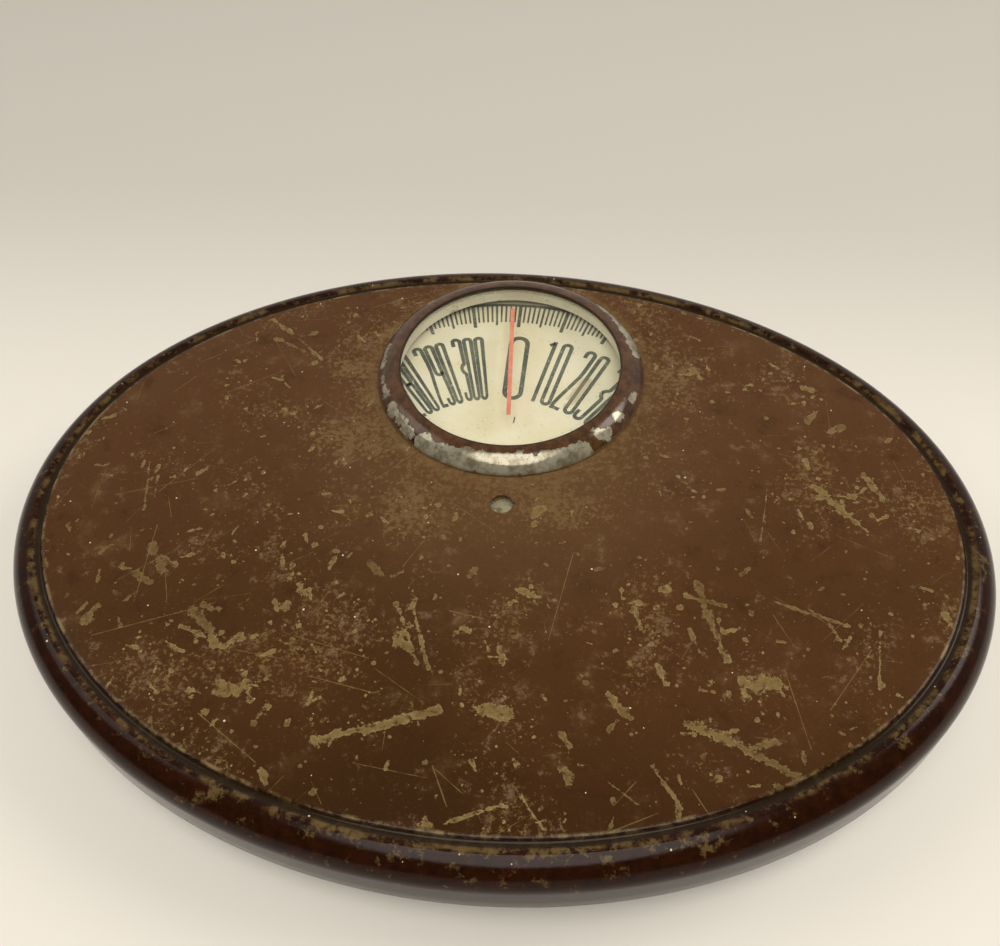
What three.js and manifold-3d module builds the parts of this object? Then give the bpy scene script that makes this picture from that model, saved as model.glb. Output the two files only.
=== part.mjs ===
// A mechanical dial personal scale: an oval pressed-steel platform over a lever mechanism
// that turns a printed dial under a round window. Millimetres, +Z up. The origin is on the
// floor under the middle of the platform, +X is to the user's right and +Y is away from them.

import * as THREE from 'three';
import { mergeVertices } from 'three/addons/utils/BufferGeometryUtils.js';
import Module from 'manifold-3d';

const wasm = await Module();
wasm.setup();

// ---------------------------------------------------------------- driving dimensions

const GAP = 0.3; // clearance between pieces that touch on the real scale
const SHEET = 1.2; // pressed sheet steel

// Platform cover: an oval whose two half widths shrink by the same amount at every level.
const OUTER_X = 178;
const OUTER_Y = 133;
const DECK_Z = 44;
const SKIRT_BOTTOM_Z = 20.4;
const ROLL_R = 10.4; // rounded rim outside the groove
const GROOVE_IN = 11.5; // from the outer edge to the middle of the groove
const GROOVE_HALF = 1.3;
const GROOVE_DEEP = 1.3;
const PEEP_HOLE_R = 4.1;
const PEEP_HOLE_X = 3; // over the dial's cap, a little right of the spindle

// Window, at the back of the deck.
const WINDOW_Y = 66;
const WINDOW_HOLE_R = 49.6;
const BEZEL_R = 53.7;
const BEZEL_TOP_Z = 51;
const BEZEL_ROUND_R = 11; // of its outer face, from the deck up to the lens
const NECK_R = WINDOW_HOLE_R - 0.4; // the bezel's neck through the hole
const NECK_IN_R = NECK_R - 1;
const LENS_SEEN_R = 43.8;
const LENS_R = 47.6;
const LENS_Z = 49.6; // top of the lens at its edge
const LENS_DOME = 0.8;
const LENS_UNDER_Z = LENS_Z - 1.8; // underside of the lens at its edge
const SEAT_IN_R = 45.6; // inside of the gasket and of the ring that holds it

// Dial and its movement.
const DIAL_Y = 8;
const DIAL_R = 118;
const DIAL_Z = 37.5;
const DIAL_THICK = 0.7;
const DISC_BORE_R = 5.4;
const HUB_R = 12;
const SPINDLE_R = 1.2;
const TEETH = 12;
const MODULE = 0.4;
const PITCH_R = (TEETH * MODULE) / 2;
const DIVISIONS = 31; // numbered divisions right round the dial
const DIAL_TRAVEL = (30 / DIVISIONS) * 2 * Math.PI;
const RACK_TRAVEL = DIAL_TRAVEL * PITCH_R;
const RACK_Z = 32.5;

// Base pan and feet.
const PAN_X = 173;
const PAN_Y = 128;
const PAN_FLOOR_Z = 6;
const PAN_TOP_Z = 27;
const FLOOR_Z = PAN_FLOOR_Z + SHEET + GAP; // where pieces stand on the pan
const FOOT_X = 104;
const FOOT_Y = 66;

// Levers. The long lever turns about the front fulcrums, the short ones about the rear.
const FULCRUM_X = 124;
const FULCRUM_Y = 66;
const LOAD_ARM = 23;
const LOAD_Y = FULCRUM_Y - LOAD_ARM;
const LEVER_LOW_Z = 16;
const LEVER_HIGH_Z = 22;
const FULCRUM_Z = 18;
const LOAD_Z = 19;
const PLATFORM_TRAVEL = 1.33;
const LEVER_TILT = PLATFORM_TRAVEL / LOAD_ARM;
const PIN_R = 1.5;
const PIN_HOLE_R = PIN_R + GAP;

// Bell crank: the lever nose presses its short arm down, its upright arm carries the main
// spring and the rack pin. It rests leaning back and swings the same angle past upright.
const CRANK_Y = 74;
const CRANK_Z = 15;
const SHORT_ARM = 9.5;
const SPRING_ARM = 12;
const SPRING_HOLE_R = 1.7;
const NOSE_TRAVEL = LEVER_TILT * (FULCRUM_Y + CRANK_Y - SHORT_ARM);
const CRANK_HALF = Math.asin(NOSE_TRAVEL / 2 / SHORT_ARM);
const RACK_ARM = RACK_TRAVEL / 2 / Math.sin(CRANK_HALF);

// Zero adjuster at the rear.
const SCREW_Z = 14.2;
const SCREW_R = 2;
const KNOB_R = 6.8;
const ANCHOR_Y = 112;

// ---------------------------------------------------------------- materials

function paint(color, roughness, metalness) {
  return new THREE.MeshStandardMaterial({ color, roughness, metalness });
}

const finish = {
  brownPaint: paint(0x5a3a28, 0.55, 0.1),
  darkPaint: paint(0x2b211c, 0.45, 0.2),
  bezelMetal: paint(0x9a978f, 0.35, 0.9),
  zincSteel: paint(0xa3a29a, 0.4, 0.9),
  springSteel: paint(0x6f6d68, 0.35, 0.9),
  brass: paint(0xa98a4a, 0.35, 0.9),
  dialPaint: paint(0xe1d7af, 0.7, 0),
  lensPlastic: paint(0xe8eee8, 0.08, 0),
  redPointer: paint(0xd0604a, 0.5, 0),
  rubber: paint(0x262524, 0.85, 0),
  blackPlastic: paint(0x24211f, 0.5, 0),
};

// ---------------------------------------------------------------- solids

function solid(geometry) {
  const bare = geometry.index ? geometry.clone() : mergeVertices(geometry.clone(), 1e-4);
  bare.deleteAttribute('normal');
  bare.deleteAttribute('uv');
  const merged = mergeVertices(bare, 1e-4);
  const vertProperties = new Float32Array(merged.attributes.position.array);
  const triVerts = new Uint32Array(merged.index.array);
  return new wasm.Manifold(new wasm.Mesh({ numProp: 3, vertProperties, triVerts }));
}

function geometryOf(manifold) {
  const mesh = manifold.getMesh();
  const geometry = new THREE.BufferGeometry();
  geometry.setAttribute('position', new THREE.BufferAttribute(mesh.vertProperties, 3));
  geometry.setIndex(new THREE.BufferAttribute(mesh.triVerts, 1));
  geometry.computeVertexNormals();
  return geometry;
}

function join(...pieces) {
  return pieces.slice(1).reduce((sum, piece) => sum.add(piece), pieces[0]);
}

function cut(body, ...tools) {
  return tools.reduce((left, tool) => left.subtract(tool), body);
}

// A box between two corners.
function block(x0, x1, y0, y1, z0, z1) {
  const geometry = new THREE.BoxGeometry(x1 - x0, y1 - y0, z1 - z0);
  geometry.translate((x0 + x1) / 2, (y0 + y1) / 2, (z0 + z1) / 2);
  return solid(geometry);
}

// A round bar between two ends along X, Y or Z.
function bar(axis, radius, from, to, middle, sides = 12) {
  const geometry = new THREE.CylinderGeometry(radius, radius, to - from, sides);
  if (axis === 'x') geometry.rotateZ(-Math.PI / 2);
  if (axis === 'z') geometry.rotateX(Math.PI / 2);
  const half = (from + to) / 2;
  const centre = { x: [half, ...middle], y: [middle[0], half, middle[1]], z: [...middle, half] };
  geometry.translate(...centre[axis]);
  return solid(geometry);
}

// A closed outline of [radius, z] points turned about the vertical line through (x, y).
function turned(points, segments, x = 0, y = 0) {
  const outline = points.map(([r, z]) => new THREE.Vector2(r, z));
  if (points[0][0] > 0 || points.at(-1)[0] > 0) outline.push(outline[0].clone());
  const geometry = new THREE.LatheGeometry(outline, segments);
  geometry.rotateX(Math.PI / 2);
  geometry.translate(x, y, 0);
  const made = solid(geometry);
  if (made.volume() > 0) return made;
  geometry.scale(1, 1, -1);
  return solid(geometry);
}

// An outline in two axes, pushed from one level to another along the third.
function pushed(points, from, to, axis = 'z', holes = []) {
  const shape = new THREE.Shape(points.map(([u, v]) => new THREE.Vector2(u, v)));
  for (const [u, v, r] of holes) {
    const hole = new THREE.Path();
    hole.absarc(u, v, r, 0, 2 * Math.PI, true);
    shape.holes.push(hole);
  }
  const settings = { depth: to - from, bevelEnabled: false, curveSegments: 8 };
  const geometry = new THREE.ExtrudeGeometry(shape, settings);
  geometry.translate(0, 0, from);
  // x: the outline is (y, z); y: the outline is (x, z), seen from the front.
  if (axis === 'x') {
    const turn = new THREE.Matrix4().makeBasis(
      new THREE.Vector3(0, 1, 0), new THREE.Vector3(0, 0, 1), new THREE.Vector3(1, 0, 0));
    geometry.applyMatrix4(turn);
  }
  if (axis === 'y') {
    geometry.translate(0, 0, -from - to);
    geometry.rotateX(Math.PI / 2);
  }
  return solid(geometry);
}

// Points of an arc, in degrees.
function arc(cx, cy, r, fromDeg, toDeg, steps) {
  return Array.from({ length: steps + 1 }, (_, i) => {
    const a = THREE.MathUtils.degToRad(fromDeg + ((toDeg - fromDeg) * i) / steps);
    return [cx + r * Math.cos(a), cy + r * Math.sin(a)];
  });
}

// An oval solid. Its outline holds [half width along Y, z]; the half width along X is larger
// by the same amount at every level outside the plain middle, where the two keep one ratio.
function oval(points, segments, plainR, extra) {
  const outline = points.map(([r, z]) => new THREE.Vector2(r, z));
  const geometry = new THREE.LatheGeometry(outline, segments);
  geometry.rotateX(Math.PI / 2);
  const position = geometry.attributes.position;
  for (let i = 0; i < position.count; i += 1) {
    const r = Math.max(Math.hypot(position.getX(i), position.getY(i)), plainR);
    position.setX(i, (position.getX(i) * (r + extra)) / r);
  }
  return solid(geometry);
}

// A strip standing on edge along a path seen from above.
function strip(path, thick, z0, z1) {
  const side = (sign) => path.map((point, i) => {
    const before = new THREE.Vector2(...(path[i - 1] ?? point));
    const here = new THREE.Vector2(...point);
    const after = new THREE.Vector2(...(path[i + 1] ?? point));
    const into = here.clone().sub(before).normalize();
    const out = after.clone().sub(here).normalize();
    const along = into.clone().add(out).normalize();
    const bend = Math.max(into.length() && out.length() ? along.dot(into) : 1, 0.3);
    const reach = (sign * thick) / 2 / bend;
    return [here.x - along.y * reach, here.y + along.x * reach];
  });
  return pushed([...side(-1), ...side(1).reverse()], z0, z1);
}

// ---------------------------------------------------------------- assembly

const scale = new THREE.Group();
const bodies = {};

function body(name) {
  bodies[name] ??= new THREE.Group();
  scale.add(bodies[name]);
  return bodies[name];
}

function place(bodyName, name, manifold, material) {
  const mesh = new THREE.Mesh(geometryOf(manifold), material);
  mesh.name = name;
  body(bodyName).add(mesh);
}

const CORNERS = [
  ['front_left', -1, -1],
  ['front_right', 1, -1],
  ['rear_left', -1, 1],
  ['rear_right', 1, 1],
];
const SIDES = [
  ['left', -1],
  ['right', 1],
];

// ---------------------------------------------------------------- platform

// The pressed outline of the cover from the skirt's edge to the middle, moved inwards by t.
function coverOutline(t) {
  const rollMiddle = OUTER_Y - ROLL_R;
  const rollZ = DECK_Z - ROLL_R;
  const groove = OUTER_Y - GROOVE_IN;
  return [
    [OUTER_Y - t, SKIRT_BOTTOM_Z],
    ...arc(rollMiddle, rollZ, ROLL_R - t, 0, 84, 6),
    [groove + GROOVE_HALF * 0.6, DECK_Z - GROOVE_DEEP - t],
    [groove - GROOVE_HALF * 0.6, DECK_Z - GROOVE_DEEP - t],
    [groove - GROOVE_HALF - 0.4, DECK_Z - t],
  ];
}

function platformCover() {
  const outside = coverOutline(0);
  const inside = coverOutline(SHEET).reverse();
  const outline = [[0, DECK_Z - SHEET], ...inside, ...outside, [0, DECK_Z]];
  const shell = oval(outline, 72, OUTER_Y - GROOVE_IN - 3, OUTER_X - OUTER_Y);
  const window = bar('z', WINDOW_HOLE_R, 30, 60, [0, WINDOW_Y], 48);
  const peep = bar('z', PEEP_HOLE_R, 30, 60, [PEEP_HOLE_X, 0], 20);
  return cut(shell, window, peep);
}

// A pressed ring over the edge of the window hole, with a neck through the hole and four
// tabs bent outwards under the deck.
function windowBezel() {
  const neckEnd = DECK_Z - SHEET - 1.9;
  const ring = turned([
    [NECK_IN_R, neckEnd],
    [NECK_R, neckEnd],
    [NECK_R, DECK_Z + 0.4],
    [BEZEL_R, DECK_Z + 0.4],
    ...arc(LENS_SEEN_R, BEZEL_TOP_Z - BEZEL_ROUND_R, BEZEL_ROUND_R, 26, 90, 7),
    [LENS_SEEN_R, LENS_Z + 0.4],
    [NECK_IN_R, LENS_Z + 0.4],
  ], 48, 0, WINDOW_Y);
  const tabs = [45, 135, 225, 315].map((degrees) => {
    const tab = block(NECK_IN_R + 0.3, NECK_R + 4.5, -5, 5, neckEnd, neckEnd + 1.2);
    return tab.rotate([0, 0, degrees]).translate([0, WINDOW_Y, 0]);
  });
  return join(ring, ...tabs);
}

function domeZ(r, edgeZ) {
  return edgeZ + LENS_DOME * (1 - (r / LENS_R) ** 2);
}

function windowLens() {
  const radii = [0, 12, 24, 34, 42, LENS_R];
  const under = radii.map((r) => [r, domeZ(r, LENS_UNDER_Z)]);
  const over = radii.map((r) => [r, domeZ(r, LENS_Z)]).reverse();
  return turned([...under, ...over], 36, 0, WINDOW_Y);
}

function pointerLine() {
  const top = LENS_UNDER_Z - GAP;
  const outline = [[-0.9, -26], [0.9, -26], [0.9, 34], [0, 34.9], [-0.9, 34]];
  const line = pushed(outline, top - 0.5, top);
  return line.rotate([0, 0, 3.7]).translate([-0.8, WINDOW_Y, 0]);
}

place('platform', 'platform_cover', platformCover(), finish.brownPaint);
place('platform', 'window_bezel', windowBezel(), finish.bezelMetal);
place('platform', 'window_lens', windowLens(), finish.lensPlastic);

// A flat ring under the edge of the lens.
function seatRing(outerR, z0, z1) {
  const section = [[SEAT_IN_R, z0], [outerR, z0], [outerR, z1], [SEAT_IN_R, z1]];
  return turned(section, 36, 0, WINDOW_Y);
}

const GASKET_TOP_Z = LENS_UNDER_Z - GAP;
const GASKET_LOW_Z = GASKET_TOP_Z - 1;
const RETAINER_LOW_Z = 41.6;
place('platform', 'lens_gasket', seatRing(LENS_R, GASKET_LOW_Z, GASKET_TOP_Z), finish.rubber);
place('platform', 'bezel_retainer',
  seatRing(NECK_IN_R - GAP, RETAINER_LOW_Z, GASKET_LOW_Z - GAP), finish.zincSteel);
place('platform', 'pointer_line', pointerLine(), finish.redPointer);

// Each post is a stirrup: a plate under the deck and two cheeks that stand on a load pin.
function platformPost(x, y) {
  const top = DECK_Z - SHEET - GAP;
  const low = LOAD_Z - 4;
  const outline = [
    [x - 5, low], [x - 3.6, low], [x - 3.6, top - 1.4], [x + 3.6, top - 1.4],
    [x + 3.6, low], [x + 5, low], [x + 5, top], [x - 5, top],
  ];
  const stirrup = pushed(outline, y - 4, y + 4, 'y');
  return cut(stirrup, bar('x', PIN_HOLE_R, x - 8, x + 8, [y, LOAD_Z]));
}

for (const [where, sx, sy] of CORNERS) {
  const post = platformPost(sx * FULCRUM_X, sy * LOAD_Y);
  place('platform', `platform_post_${where}`, post, finish.zincSteel);
}

// ---------------------------------------------------------------- base

function basePan() {
  const corner = 4;
  const outside = arc(PAN_Y - corner, PAN_FLOOR_Z + corner, corner, 270, 360, 3);
  const inside = arc(PAN_Y - corner, PAN_FLOOR_Z + corner, corner - SHEET, 360, 270, 3);
  const outline = [
    [0, PAN_FLOOR_Z], ...outside, [PAN_Y, PAN_TOP_Z], [PAN_Y - SHEET, PAN_TOP_Z],
    ...inside, [0, PAN_FLOOR_Z + SHEET],
  ];
  const shell = oval(outline, 60, PAN_Y - corner - 2, PAN_X - PAN_Y);
  const stems = CORNERS.map(([, sx, sy]) => bar('z', 3.4, 3, 10, [sx * FOOT_X, sy * FOOT_Y]));
  const screwHole = bar('y', SCREW_R + 0.6, PAN_Y - 6, PAN_Y + 4, [0, SCREW_Z]);
  return cut(shell, ...stems, screwHole);
}

place('base', 'base_pan', basePan(), finish.darkPaint);

for (const [where, sx, sy] of CORNERS) {
  const foot = turned([
    [0, 0], [9.6, 0], [11, 1.4], [10.4, PAN_FLOOR_Z - GAP], [3, PAN_FLOOR_Z - GAP],
    [3, FLOOR_Z + 0.1], [4.3, FLOOR_Z + 0.1], [3, FLOOR_Z + 2.4], [0, FLOOR_Z + 2.4],
  ], 16, sx * FOOT_X, sy * FOOT_Y);
  place('base', `foot_${where}`, foot, finish.rubber);
}

// A bent bracket with two cheeks and holes for a pin along X.
function cheekBracket(x, y, half, thick, deep, topZ, pinZ) {
  const outline = [
    [x - half, FLOOR_Z], [x + half, FLOOR_Z], [x + half, topZ], [x + half - thick, topZ],
    [x + half - thick, FLOOR_Z + thick], [x - half + thick, FLOOR_Z + thick],
    [x - half + thick, topZ], [x - half, topZ],
  ];
  const channel = pushed(outline, y - deep / 2, y + deep / 2, 'y');
  return cut(channel, bar('x', PIN_HOLE_R, x - half - 2, x + half + 2, [y, pinZ]));
}

for (const [where, sx, sy] of CORNERS) {
  const bracket = cheekBracket(sx * FULCRUM_X, sy * FULCRUM_Y, 5, 1.4, 9, 22, FULCRUM_Z);
  place('base', `fulcrum_bracket_${where}`, bracket, finish.zincSteel);
}

const crankBracket = cheekBracket(0, CRANK_Y, 6.5, 1.4, 8, 19, CRANK_Z);
place('base', 'crank_bracket', crankBracket, finish.zincSteel);
place('base', 'crank_pivot_pin', bar('x', PIN_R, -8, 8, [CRANK_Y, CRANK_Z]), finish.zincSteel);

// The bridge carries the upper bush of the spindle over the pan.
const BRIDGE_Z = 28;
const BRIDGE_HALF = 34;
const BUSH_R = 3.8;
function movementBridge() {
  const outline = [
    [-BRIDGE_HALF - 8, FLOOR_Z], [-BRIDGE_HALF + 2, FLOOR_Z], [-BRIDGE_HALF + 2, BRIDGE_Z - 2],
    [BRIDGE_HALF - 2, BRIDGE_Z - 2], [BRIDGE_HALF - 2, FLOOR_Z], [BRIDGE_HALF + 8, FLOOR_Z],
    [BRIDGE_HALF + 8, FLOOR_Z + 2], [BRIDGE_HALF, FLOOR_Z + 2], [BRIDGE_HALF, BRIDGE_Z],
    [-BRIDGE_HALF, BRIDGE_Z], [-BRIDGE_HALF, FLOOR_Z + 2], [-BRIDGE_HALF - 8, FLOOR_Z + 2],
  ];
  const bridge = pushed(outline, DIAL_Y - 9, DIAL_Y + 9, 'y');
  return cut(bridge, bar('z', BUSH_R + GAP, 20, 40, [0, DIAL_Y], 20));
}

place('base', 'movement_bridge', movementBridge(), finish.zincSteel);

const BORE_R = SPINDLE_R + GAP;
place('base', 'upper_bush', turned([
  [BORE_R, 24.4], [BUSH_R, 24.4], [BUSH_R, BRIDGE_Z + GAP], [5, BRIDGE_Z + GAP],
  [5, BRIDGE_Z + 1], [BORE_R, BRIDGE_Z + 1],
], 20, 0, DIAL_Y), finish.brass);
place('base', 'lower_bush', turned([
  [0, FLOOR_Z], [8, FLOOR_Z], [8, FLOOR_Z + 1.4], [4.2, FLOOR_Z + 1.4], [4.2, FLOOR_Z + 5],
  [BORE_R, FLOOR_Z + 5], [BORE_R, FLOOR_Z + 0.9], [0, FLOOR_Z + 0.9],
], 20, 0, DIAL_Y), finish.brass);

// The guide keeps the rack against the pinion.
const RACK_BACK_X = -5.1;
place('base', 'rack_guide', join(
  block(-14, RACK_BACK_X - 0.4, DIAL_Y - 8, DIAL_Y + 8, BRIDGE_Z + GAP, BRIDGE_Z + 1.5),
  block(RACK_BACK_X - 1.6, RACK_BACK_X - 0.4, DIAL_Y - 8, DIAL_Y + 8, BRIDGE_Z + 1, 35.4),
), finish.brass);

// Front post for the rack spring.
const RACK_POST_Y = -60;
place('base', 'rack_spring_post', cut(
  join(
    block(-5.2, -2.9, RACK_POST_Y - 4, RACK_POST_Y + 2.4, FLOOR_Z, 35),
    block(-12, 4, RACK_POST_Y - 8, RACK_POST_Y + 2.4, FLOOR_Z, FLOOR_Z + 1.6),
  ),
  bar('x', 0.75, -7, -1, [RACK_POST_Y, RACK_Z], 12),
), finish.zincSteel);

// Channel in which the spring anchor slides.
place('base', 'anchor_guide', pushed([
  [-6.6, FLOOR_Z], [6.6, FLOOR_Z], [6.6, 16], [5.4, 16], [5.4, FLOOR_Z + 1.4],
  [-5.4, FLOOR_Z + 1.4], [-5.4, 16], [-6.6, 16],
], 105, 122, 'y'), finish.zincSteel);

// ---------------------------------------------------------------- levers

const ARM_OUT_Y = FULCRUM_Y + 5;
const ARM_BEND_Y = LOAD_Y - 6;
const SADDLE_X = 72; // where the short levers bear on the long one
const NOSE_Y = 60;
const PRONG_Z = CRANK_Z + SHORT_ARM * Math.sin(CRANK_HALF) + PIN_R + 0.5;

function longLever() {
  const half = [[FULCRUM_X, -ARM_OUT_Y], [FULCRUM_X, -ARM_BEND_Y], [SADDLE_X, 0], [8, NOSE_Y]];
  const other = half.map(([x, y]) => [-x, y]).reverse();
  const frame = strip([...half, ...other], 2, LEVER_LOW_Z, LEVER_HIGH_Z);
  const prongs = SIDES.map(([, s]) => block(
    Math.min(s * 2.2, s * 6), Math.max(s * 2.2, s * 6), NOSE_Y - 0.5, 69, PRONG_Z, PRONG_Z + 1.2));
  const holes = SIDES.flatMap(([, s]) => [
    bar('x', PIN_HOLE_R, s * FULCRUM_X - 3, s * FULCRUM_X + 3, [-FULCRUM_Y, FULCRUM_Z]),
    bar('x', PIN_HOLE_R, s * FULCRUM_X - 3, s * FULCRUM_X + 3, [-LOAD_Y, LOAD_Z]),
  ]);
  return cut(join(frame, ...prongs), ...holes);
}

// Each short lever ends in a tongue that lies over the long lever.
function shortLever(s) {
  const tipX = SADDLE_X + 10;
  const path = [[s * FULCRUM_X, ARM_OUT_Y], [s * FULCRUM_X, ARM_BEND_Y], [s * tipX, 4]];
  const arm = strip(path, 2, LEVER_LOW_Z, LEVER_HIGH_Z + 1);
  const near = s * (SADDLE_X - 4);
  const far = s * (tipX + 3);
  const tongue = block(Math.min(near, far), Math.max(near, far), -3, 7,
    LEVER_HIGH_Z + 0.6, LEVER_HIGH_Z + 2);
  return cut(
    join(arm, tongue),
    bar('x', PIN_HOLE_R, s * FULCRUM_X - 3, s * FULCRUM_X + 3, [FULCRUM_Y, FULCRUM_Z]),
    bar('x', PIN_HOLE_R, s * FULCRUM_X - 3, s * FULCRUM_X + 3, [LOAD_Y, LOAD_Z]),
  );
}

// A pin along X through a lever's arm.
function placeLeverPin(lever, name, x, y, z) {
  place(lever, name, bar('x', PIN_R, x - 6.5, x + 6.5, [y, z]), finish.springSteel);
}

place('long_lever', 'long_lever', longLever(), finish.zincSteel);
for (const [side, s] of SIDES) {
  const x = s * FULCRUM_X;
  const rear = `short_lever_${side}`;
  place(rear, rear, shortLever(s), finish.zincSteel);
  placeLeverPin('long_lever', `front_fulcrum_pin_${side}`, x, -FULCRUM_Y, FULCRUM_Z);
  placeLeverPin('long_lever', `front_load_pin_${side}`, x, -LOAD_Y, LOAD_Z);
  placeLeverPin(rear, `rear_fulcrum_pin_${side}`, x, FULCRUM_Y, FULCRUM_Z);
  placeLeverPin(rear, `rear_load_pin_${side}`, x, LOAD_Y, LOAD_Z);
}

// ---------------------------------------------------------------- bell crank and rack

// A point on the upright arm at rest, in (y, z).
function onUpright(distance) {
  return [CRANK_Y + distance * Math.sin(CRANK_HALF), CRANK_Z + distance * Math.cos(CRANK_HALF)];
}

const SPRING_HOLE = onUpright(SPRING_ARM);
const RACK_PIN = onUpright(RACK_ARM);
const NOSE_PIN = [
  CRANK_Y - SHORT_ARM * Math.cos(CRANK_HALF),
  CRANK_Z + SHORT_ARM * Math.sin(CRANK_HALF),
];

// A tapered arm in (y, z) between two round ends.
function taperedArm(start, startR, end, endR) {
  const angle = THREE.MathUtils.radToDeg(Math.atan2(end[1] - start[1], end[0] - start[0]));
  return [
    ...arc(start[0], start[1], startR, angle + 90, angle + 270, 8),
    ...arc(end[0], end[1], endR, angle - 90, angle + 90, 6),
  ];
}

function bellCrank() {
  const pivot = [CRANK_Y, CRANK_Z];
  const plates = [
    pushed(taperedArm(pivot, 4, NOSE_PIN, 1.7), -1.5, 1.5, 'x'),
    pushed(taperedArm(pivot, 4, SPRING_HOLE, 3.6), -1.5, 1.5, 'x'),
    pushed(taperedArm(SPRING_HOLE, 3.6, RACK_PIN, 1.9), -1.5, 1.5, 'x'),
  ];
  const hub = bar('x', 3.6, -4.7, 4.7, pivot, 20);
  const nosePin = bar('x', PIN_R, -5.5, 5.5, NOSE_PIN);
  const rackPin = bar('x', 1, -5.6, 1.5, RACK_PIN);
  return cut(
    join(...plates, hub, nosePin, rackPin),
    bar('x', PIN_HOLE_R, -6, 6, pivot),
    bar('x', SPRING_HOLE_R, -3, 3, SPRING_HOLE),
  );
}

place('bell_crank', 'bell_crank', bellCrank(), finish.zincSteel);

const RACK_FACE_X = RACK_BACK_X + 2.1; // bottom of the rack teeth
const RACK_TIP_X = RACK_FACE_X + 0.8;
const RACK_FRONT_Y = -16;
const RACK_HOLE_Y = -13.5;
function rackBar() {
  const pitch = Math.PI * MODULE;
  const teeth = [];
  const spare = 2; // teeth beyond the travel, before the first in mesh
  const count = Math.ceil(RACK_TRAVEL / pitch) + 5;
  for (let i = 0; i < count; i += 1) {
    const y = DIAL_Y + (i - spare + 0.5) * pitch;
    teeth.push([RACK_FACE_X, y - 0.32], [RACK_TIP_X, y - 0.12]);
    teeth.push([RACK_TIP_X, y + 0.12], [RACK_FACE_X, y + 0.32]);
  }
  const tail = RACK_PIN[0] + 3.2;
  const outline = [[RACK_BACK_X, RACK_FRONT_Y], [RACK_FACE_X, RACK_FRONT_Y], ...teeth,
    [RACK_FACE_X, tail], [RACK_BACK_X, tail]];
  const barSolid = pushed(outline, RACK_Z - 1.5, RACK_Z + 1.5);
  const fork = block(RACK_BACK_X, RACK_FACE_X, RACK_PIN[0] - 3.2, tail, 29.8, 36.3);
  const slot = block(-8, 0, RACK_PIN[0] - 1.35, RACK_PIN[0] + 1.35, 28, 34.8);
  return cut(join(barSolid, fork), slot, bar('x', 0.75, -8, 0, [RACK_HOLE_Y, RACK_Z], 12));
}

place('rack', 'rack_bar', rackBar(), finish.brass);

// ---------------------------------------------------------------- dial

const DISC_TOP_Z = DIAL_Z + DIAL_THICK;
const CAP_Z = DISC_TOP_Z + GAP;
place('dial', 'dial_disc', turned([
  [DISC_BORE_R, DIAL_Z], [DIAL_R, DIAL_Z], [DIAL_R, DISC_TOP_Z], [DISC_BORE_R, DISC_TOP_Z],
], 72, 0, DIAL_Y), finish.dialPaint);
place('dial', 'dial_hub', turned([
  [BORE_R, 35.4], [4.4, 35.4], [4.4, 36.2], [HUB_R, 36.2], [HUB_R, DIAL_Z - GAP],
  [5, DIAL_Z - GAP], [5, DISC_TOP_Z], [BORE_R, DISC_TOP_Z],
], 32, 0, DIAL_Y), finish.brass);
place('dial', 'dial_cap', turned([
  [BORE_R, CAP_Z], [HUB_R, CAP_Z], [HUB_R - 0.5, CAP_Z + 0.7], [BORE_R, CAP_Z + 0.7],
], 32, 0, DIAL_Y), finish.zincSteel);
place('dial', 'hub_nut', turned([
  [BORE_R, CAP_Z + 1], [3.6, CAP_Z + 1], [3.6, CAP_Z + 2.2], [BORE_R, CAP_Z + 2.2],
], 6, 0, DIAL_Y), finish.brass);
place('dial', 'dial_spindle', turned([
  [0, FLOOR_Z + 1.4], [0.7, FLOOR_Z + 1.4], [SPINDLE_R, FLOOR_Z + 2.2], [SPINDLE_R, CAP_Z + 2.4],
  [0, CAP_Z + 2.4],
], 16, 0, DIAL_Y), finish.springSteel);

// The toothed stretch of the spindle: a brass pinion pressed on it.
function dialPinion() {
  const rootR = PITCH_R - 0.45;
  const tipR = PITCH_R + 0.35;
  const rootHalf = 0.3 / rootR; // half a tooth's angle at its root
  const tipHalf = 0.13 / tipR;
  const points = [];
  for (let i = 0; i < TEETH; i += 1) {
    const middle = (i * 2 * Math.PI) / TEETH;
    const corners = [
      [rootR, middle - rootHalf], [tipR, middle - tipHalf],
      [tipR, middle + tipHalf], [rootR, middle + rootHalf],
    ];
    points.push(...corners.map(([r, a]) => [r * Math.cos(a), DIAL_Y + r * Math.sin(a)]));
  }
  const teeth = pushed(points, BRIDGE_Z + 1.6, 35);
  return cut(teeth, bar('z', BORE_R, 20, 40, [0, DIAL_Y]));
}

place('dial', 'dial_pinion', dialPinion(), finish.brass);

// ---------------------------------------------------------------- zero adjuster

const KNOB_Y = PAN_Y + 0.5;
function zeroKnob() {
  const outline = [];
  const ridges = 20;
  for (let i = 0; i < ridges * 2; i += 1) {
    const r = i % 2 ? KNOB_R : KNOB_R - 0.5;
    const a = (i * Math.PI) / ridges;
    outline.push([r * Math.cos(a), SCREW_Z + r * Math.sin(a)]);
  }
  return pushed(outline, KNOB_Y, KNOB_Y + 2.6, 'y', [[0, SCREW_Z, SCREW_R + GAP]]);
}

place('zero_knob', 'zero_knob', zeroKnob(), finish.blackPlastic);
const zeroScrew = bar('y', SCREW_R, 104.5, KNOB_Y + 2.2, [0, SCREW_Z]);
place('zero_knob', 'zero_screw', zeroScrew, finish.zincSteel);
place('zero_knob', 'screw_clip', cut(
  bar('y', 4.4, PAN_Y - SHEET - 1.6, PAN_Y - SHEET - 0.5, [0, SCREW_Z], 20),
  bar('y', SCREW_R + GAP, 100, 140, [0, SCREW_Z]),
), finish.springSteel);

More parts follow.
